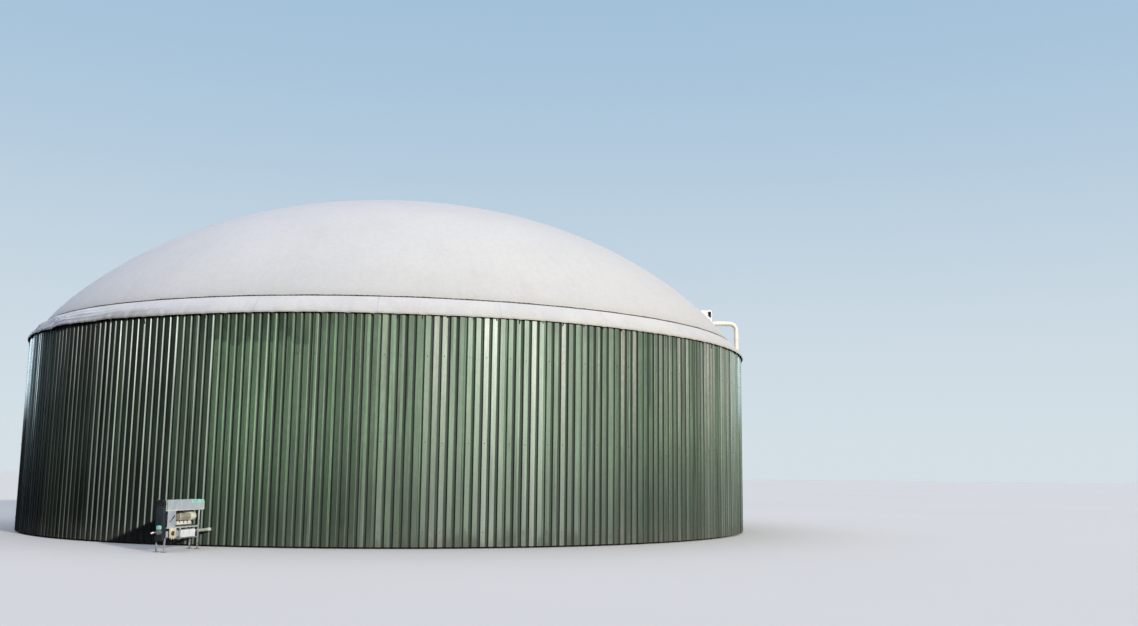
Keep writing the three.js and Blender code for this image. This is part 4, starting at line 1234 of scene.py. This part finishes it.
def housing_flanges():
    """Flanges at both ends of the bearing housing, side bolts and two grease nipples."""
    low, high = span("mixer_bearing_housing")
    flanges = Build(MACHINE)
    outline = rounded((low[1] - 0.006, low[2] + 0.001), high[1:] + 0.006, (0.010, 0.010, 0.03, 0.03))
    for x in (low[0], high[0] - 0.022):
        flanges.slab(outline, x, x + 0.022, 0.004)
    for side in (-1, 1):
        for z in (low[2] + 0.035, high[2] - 0.035):
            for x in (low[0] + 0.060, low[0] + 0.22, high[0] - 0.22, high[0] - 0.060):
                flanges.bolt((x, side * (high[1] - 0.001), z), (0, side, 0), 0.008)
    for x in (low[0] + 0.12, high[0] - 0.12):
        flanges.disc((x, 0, high[2] - 0.001), (0, 0, 1), 0.010, 0.016, 6, 0.002)
    flanges.piece("bearing_housing_flanges", "bearing_white", "machine_grey")


def wall_sleeve():
    """A bolted rubber boot on the wall, and the folds of the sleeve that comes out of it."""
    low, high = span("mixer_wall_sleeve")
    start, z, radius = low[0], (low[2] + high[2]) / 2, (high[2] - low[2]) / 2
    boot_end = Build(MACHINE)
    profile = [(start + x, share) for x, share in ((0.0, 0.98), (0.008, 0.98), (0.010, 0.86), (0.020, 0.86))]
    boot_end.turned((0, 0, z), radius, profile)
    boot_end.bolts((start + 0.008, 0, z), (1, 0, 0), (0, 1, 0), radius * 0.92, 6, 0.005)
    folds = Build(MACHINE)
    profile = [(start + 0.016, 0.74)]
    for x in start + SLEEVE_FOLD * np.arange(4):
        profile += [(x + 0.022, 0.83), (x + 0.032, 0.74)]
    folds.turned((0, 0, z), radius, profile + [(start + 0.122, 0.70)])
    folds.piece("wall_sleeve_folds", "boot_grey", "rubber")
    boot_end.piece("wall_boot", "rubber", replaces=["mixer_wall_sleeve"])


def coupling_cover():
    """A folded cover over the shaft between the bearing housing and the belt guard."""
    start, end = span("mixer_bearing_housing")[1][0] + 0.024, span("mixer_drive_shaft")[1][0] - 0.12
    build = Build(MACHINE)
    low, high = COVER_LEVELS
    build.box((start, -COVER_HALF, low), (end, COVER_HALF, high), 0.012)
    for x in (start + 0.03, end - 0.03):
        for z in (low + 0.020, high - 0.020):
            build.bolt((x, COVER_HALF, z), (0, 1, 0), 0.006)
    for x in np.linspace(start + 0.08, end - 0.08, 6):
        far = (x + 0.012, COVER_HALF + 0.0015, high - 0.035)
        build.box((x, COVER_HALF - 0.0005, low + 0.037), far, 0.0008)
    build.piece("coupling_cover", "machine_grey")


def frame_feet():
    """Base plates under the posts with levelling nuts, and bolts where the rails meet the posts."""
    low, high = span("mixer_frame")
    build = Build(MACHINE)
    for x in (low[0] + FRAME_BAR / 2, high[0] - FRAME_BAR / 2):
        for y, side, face in ((low[1] + FRAME_BAR / 2, -1, low[1]), (high[1] - FRAME_BAR / 2, 1, high[1])):
            build.box((x - 0.045, y - 0.045, 0.0), (x + 0.045, y + 0.045, 0.008), 0.0015)
            for shift in (-0.03, 0.03):
                build.bolt((x + shift, y + shift, 0.008), (0, 0, 1), 0.008)
            build.bolt((x, face, FRAME_BOLT_LEVEL), (0, side, 0), 0.008)
    low, high = span("mixer_motor_plate")
    for x in np.linspace(low[0] + 0.05, high[0] - 0.05, 5):
        for y in (low[1] + 0.020, high[1] - 0.020):
            build.bolt((x, y, high[2]), (0, 0, 1), 0.009)
    build.piece("frame_feet_and_bolts", "galvanised")


hood()
belt_guard()
motor()
motor_feet()
side_panel()
isolator()
conduit()
outer_bearing()
housing_flanges()
wall_sleeve()
coupling_cover()
frame_feet()


# Support air: x is the distance out from the tank's axis, y runs along the wall

def boot(build, rings, sides):
    """A collar welded on the dome; each ring is (a function from a turn's share to x and y, lift)."""
    rows = []
    for shape, lift in rings:
        places = [shape(k / sides) for k in range(sides)]
        rows.append([(x, y, dome_level(math.hypot(x, y)) + lift) for x, y in places])
    build.grid(rows, closed_rows=True, closed_columns=True)


def square_round(middle, half, grow):
    """A rectangle's edge as a function of the share of a turn."""
    def shape(share):
        c, s = math.cos(TURN * share), math.sin(TURN * share)
        reach = 1 / (abs(c) ** 6 + abs(s) ** 6) ** (1 / 6)
        return middle[0] + (half[0] + grow) * c * reach, middle[1] + (half[1] + grow) * s * reach
    return shape


def circle(middle, radius, tilt):
    """A round pipe's section as a function of the share of a turn, where it leaves the dome at a tilt."""
    def shape(share):
        return middle + radius * math.sin(tilt) * math.cos(TURN * share), radius * math.sin(TURN * share)
    return shape


def outlet_trim(place, low, high, flap_low, flap_high):
    """Lid and drip edge, the frame round the mouth, and rivets down the box's sides."""
    shell = Build(place)
    end, lip = high[0] + 0.014, (low[1] - 0.012, high[1] + 0.012)
    shell.box((low[0] + 0.002, lip[0], high[2]), (end, lip[1], high[2] + OUTLET_LID), 0.003)
    shell.box((high[0] - 0.001, lip[0], high[2] - 0.022), (end, lip[1], high[2] + 0.001), 0.002)
    near, far = low[1] - 0.006, low[1] + 0.004
    left, right = flap_low[0] - OUTLET_FRAME, flap_high[0] + 0.001
    bottom, top = flap_low[2] - OUTLET_FRAME, flap_high[2] + 0.001
    for (x0, z0), (x1, z1) in (
            ((right, bottom), (flap_high[0] + OUTLET_FRAME, flap_high[2] + OUTLET_FRAME)),
            ((left, top), (right, flap_high[2] + OUTLET_FRAME)),
            ((left, flap_low[2] + OUTLET_CORNER), (flap_low[0] - 0.001, top)),
            ((flap_low[0] + OUTLET_CORNER, bottom), (right, flap_low[2] - 0.001))):
        shell.box((x0, near, z0), (x1, far, z1), 0.002)
    for side, y in ((-1, low[1]), (1, high[1])):
        for z in SIDE_RIVETS:
            shell.disc((high[0] - 0.018, y, z), (0, side, 0), RIVET, 0.003, 10, 0.001)
    for y in np.linspace(low[1] + 0.04, high[1] - 0.04, 4):
        for z in END_RIVETS:
            shell.disc((high[0], y, z), (1, 0, 0), RIVET, 0.003, 10, 0.001)
    shell.piece("outlet_trim", "outlet_white")


def outlet():
    """The box's trim, its slanted blades, and the boot that seals it on the dome."""
    low, high = span("air_outlet_box", OUTLET_BEARING, 0.0)
    flap_low, flap_high = span("air_outlet_flap", OUTLET_BEARING, 0.0)
    place = at_bearing(OUTLET_BEARING)
    outlet_trim(place, low, high, flap_low, flap_high)
    blades = Build(place)
    for z in np.linspace(flap_low[2] + 0.030, flap_high[2] - 0.012, OUTLET_BLADES):
        start = flap_low[0] + 0.002 + max(0.0, flap_low[2] + OUTLET_CORNER - z)
        section = [(low[1] + y, z + rise) for y, rise in (
            (0.006, -0.010), (0.0075, -0.010), (0.028, 0.010), (0.0265, 0.010))]
        rows = [[(x, y, level) for y, level in section] for x in (start, flap_high[0] - 0.002)]
        blades.grid(rows, closed_columns=True, caps=True)
    blades.piece("outlet_blades", "rubber", smooth=None)
    middle, half = (low + high)[:2] / 2, (high - low)[:2] / 2
    skin = Build(place)
    rings = ((BOOT_WIDTH, 0.001), (BOOT_WIDTH, 0.004), (0.016, 0.006), (0.003, 0.030),
             (-0.002, 0.030), (-0.002, 0.001))
    boot(skin, [(square_round(middle, half, grow), lift) for grow, lift in rings], 96)
    skin.piece("outlet_boot", "skirt_white", smooth=50)


def arc(centre, radius, start, end, steps):
    """Points from one angle to another, in degrees, in the plane of x and z."""
    angles = np.radians(np.linspace(start, end, steps))
    return [(centre[0] + radius * math.cos(a), 0.0, centre[1] + radius * math.sin(a)) for a in angles]


def pipe_run(place):
    """The pipe from its collar on the dome over the edge and down the wall, with its glued sleeves."""
    rise = PIPE_BEND * (1 - math.cos(PIPE_TILT))
    length = (PIPE_LEVEL - rise - PIPE_START[1]) / math.sin(PIPE_TILT)
    bend = PIPE_START[0] + length * math.cos(PIPE_TILT) + PIPE_BEND * math.sin(PIPE_TILT)
    centre, turn = PIPE_LEVEL - PIPE_BEND, PIPE_DROP - PIPE_BEND
    path = [(PIPE_START[0], 0.0, PIPE_START[1])]
    path += arc((bend, centre), PIPE_BEND, 90 + math.degrees(PIPE_TILT), 90, 10)
    path += arc((turn, centre), PIPE_BEND, 90, 0, 16)
    path.append((PIPE_DROP, 0.0, PIPE_END))
    pipe = Build(place)
    pipe.tube(path, PIPE_RADIUS, 40)
    sleeves = [((PIPE_DROP, z + 0.055), (PIPE_DROP, z - 0.055)) for z in PIPE_SLEEVES]
    sleeves.append(((turn - 0.16, PIPE_LEVEL), (turn - 0.05, PIPE_LEVEL)))
    sleeves.append(((PIPE_DROP, centre - 0.01), (PIPE_DROP, centre - 0.10)))
    for (x0, z0), (x1, z1) in sleeves:
        points = [(x0 + (x1 - x0) * share, 0.0, z0 + (z1 - z0) * share) for share in (0, 0.04, 0.96, 1)]
        pipe.tube(points, [PIPE_RADIUS + r for r in (0.0005, 0.0045, 0.0045, 0.0005)], 40)
    pipe.piece("air_pipe_run", "pipe_cream", "cream", smooth=40, replaces=["air_pipe"])


def pipe_fittings(place, collar, axis):
    """Bolts on the collar, lugs and bolts on the clips, and the bolts and neck of the flange."""
    steel = Build(place)
    steel.bolts(collar, axis, (0, 1, 0), 0.118, 8, 0.013, 0.5)
    for name in ("lower", "middle", "upper"):
        low, high = span(f"air_pipe_clip_{name}", PIPE_BEARING, 0.0)
        z = (low[2] + high[2]) / 2
        for y in (-0.082, -0.045, 0.045, 0.082):
            steel.bolt((low[0] + 0.0078, y, z), (1, 0, 0), 0.009)
        back, front = PIPE_DROP - 0.018, PIPE_DROP + 0.018
        for side in (-1, 1):
            y = side * 0.096
            steel.box((back, y - 0.012, z - 0.022), (front, y + 0.012, z + 0.022), 0.004)
            steel.bolt((front, side * 0.098, z), (1, 0, 0), 0.008)
    top = span("air_pipe_flange", PIPE_BEARING, 0.0)[1][2]
    steel.bolts((PIPE_DROP, 0.0, top), (0, 0, 1), (1, 0, 0), 0.102, 8, 0.012, 0.5)
    neck = ((top + 0.0005, 0.092), (top + 0.012, 0.086), (top + 0.045, 0.079))
    steel.turned((PIPE_DROP, 0.0, 0.0), 1.0, neck, 40, axis=2)
    steel.piece("air_pipe_fittings", "galvanised")


def air_pipe():
    place = at_bearing(PIPE_BEARING)
    pipe_run(place)
    low, high = span("air_pipe_collar", PIPE_BEARING, 0.0)
    axis = np.array([math.cos(PIPE_TILT), 0.0, math.sin(PIPE_TILT)])
    collar = (low + high) / 2 + 0.015 * axis
    pipe_fittings(place, collar, axis)
    skin = Build(place)
    middle = collar[0] - 0.030 * axis[0]
    rings = ((0.225, 0.001), (0.225, 0.004), (0.165, 0.006), (0.154, 0.022), (0.150, 0.022), (0.150, 0.001))
    boot(skin, [(circle(middle, radius, PIPE_TILT), lift) for radius, lift in rings], 72)
    skin.piece("air_pipe_boot", "skirt_white", smooth=50)


outlet()
air_pipe()


# CAD nodes that are shown

OWN_FINISH = {"mixer_frame": "frame_zinc", "mixer_hood": "hood_paint", "mixer_shaft_tube": "shaft_zinc",
              "mixer_bearing_housing": "bearing_white", "mixer_motor_plate": "plate_steel"}
WELD_DISTANCE = 0.00005
ROUNDING = 0.003
SHARP = math.radians(30)


def dress_cad_nodes():
    """Each node gets its finish, and the machine's and the air system's nodes get rounded edges."""
    slots = {part["node"]: part["material_slot"] for part in frame["record"]["subparts"]}
    for name, node in frame["nodes"].items():
        node.data.materials.clear()
        node.data.materials.append(FINISH[OWN_FINISH.get(name, slots[name])])
        if name.startswith(("mixer_", "air_")):
            node.modifiers.new("weld", "WELD").merge_threshold = WELD_DISTANCE
            rounding = node.modifiers.new("rounding", "BEVEL")
            rounding.width = ROUNDING
            rounding.segments = 2
            rounding.limit_method = "ANGLE"
            rounding.angle_limit = SHARP


# Floor, light and camera

def floor():
    build = Build()
    build.grid([[ring_point(radius, 360 * c / 96, FLOOR_LEVEL) for c in range(96)] for radius in FLOOR_RINGS],
               closed_columns=True)
    f = Finish("studio_floor", specular=0.2)
    f.base = f.mix(f.clouds(0.05, 3.0, 0.3, 0.7), (0.51, 0.50, 0.48), (0.525, 0.515, 0.495))
    f.done(0.9, f.noise(30.0, 3.0), 0.002, 0.3)
    mesh = bpy.data.meshes.new("studio_floor")
    mesh.from_pydata(build.verts, [], build.faces)
    mesh.materials.append(f.material)
    obj = bpy.data.objects.new("studio_floor", mesh)
    bpy.context.scene.collection.objects.link(obj)
    obj.visible_diffuse = obj.visible_glossy = False


def receivers(name, starts):
    """The pieces whose names start so; with no starts given, all that no other sun lights."""
    taken = tuple(start for sun in SUNS for start in sun[3])
    group = bpy.data.collections.new(name)
    for obj in bpy.context.scene.objects:
        wanted = obj.name.startswith(starts) if starts else not obj.name.startswith(taken)
        if obj.type == "MESH" and wanted:
            group.objects.link(obj)
    return group


def sky_light():
    """A plain pale backdrop for the camera, soft light from above, and dim sides, one with a bright gap."""
    world = bpy.data.worlds.new("studio")
    bpy.context.scene.world = world
    world.use_nodes = True
    world.node_tree.nodes.clear()
    w = Nodes(world.node_tree, "Generated")
    right, back, up = w.x, w.y, w.z
    ground = w.mix(w.range(right, -0.3, 0.9), (0.015, 0.015, 0.016), (0.060, 0.058, 0.055))
    sky = w.mix(w.range(up, 0.0, 0.55), ground, (0.06, 0.065, 0.075))
    gap = w.mix(w.range(back, 0.84, 0.93), (2.40, 3.10, 3.50), (0.50, 0.66, 0.76))
    band = w.mix(w.range(up, 0.035, 0.075), (0.02, 0.02, 0.02), gap)
    behind = w.mix(w.range(up, 0.13, 0.26), band, (0.30, 0.38, 0.50))
    low = w.mix(w.range(back, 0.61, 0.80), sky, behind)
    height = w.plus(w.times(right, -0.06), w.times(back, 0.05), up)
    zenith = w.mix(w.range(right, -0.65, 0.0), (1.16, 1.43, 2.02), (1.51, 1.57, 1.75))
    light = w.node("Background", w.mix(w.range(height, 0.54, 0.74), low, zenith)).outputs[0]
    backdrop = w.mix(w.range(up, 0.0, 0.45), (0.66, 0.74, 0.79), (0.36, 0.53, 0.70))
    seen = w.node("Background", backdrop).outputs[0]
    to_camera = w.node("LightPath").outputs["Is Camera Ray"]
    w.node("OutputWorld", w.node("MixShader", to_camera, light, seen).outputs[0])


def suns():
    """A soft key from the right; each sun lights only its own pieces."""
    height = math.radians(SUN_HEIGHT)
    towards = Vector(outward(SUN_BEARING)) * math.cos(height) + Vector((0, 0, math.sin(height)))
    for name, energy, colour, starts in SUNS:
        key = bpy.data.lights.new(name, "SUN")
        key.energy = energy
        key.color = colour
        key.angle = math.radians(SUN_WIDTH)
        lamp = bpy.data.objects.new(name, key)
        lamp.rotation_euler = towards.to_track_quat("Z", "Y").to_euler()
        lamp.light_linking.receiver_collection = receivers(name, starts)
        bpy.context.scene.collection.objects.link(lamp)


def camera():
    data = bpy.data.cameras.new("camera")
    data.sensor_width = 36
    data.lens = CAMERA_LENS
    data.clip_end = 1500
    obj = bpy.data.objects.new("camera", data)
    forward, up = Vector(CAMERA_FORWARD).normalized(), Vector(CAMERA_UP).normalized()
    right = forward.cross(up).normalized()
    turn = Matrix((right, right.cross(forward), -forward)).transposed().to_4x4()
    obj.matrix_world = Matrix.Translation(CAMERA_PLACE) @ turn
    bpy.context.scene.collection.objects.link(obj)
    bpy.context.scene.camera = obj


dress_cad_nodes()
floor()
sky_light()
suns()
camera()
bpy.context.scene.view_settings.view_transform = "Standard"
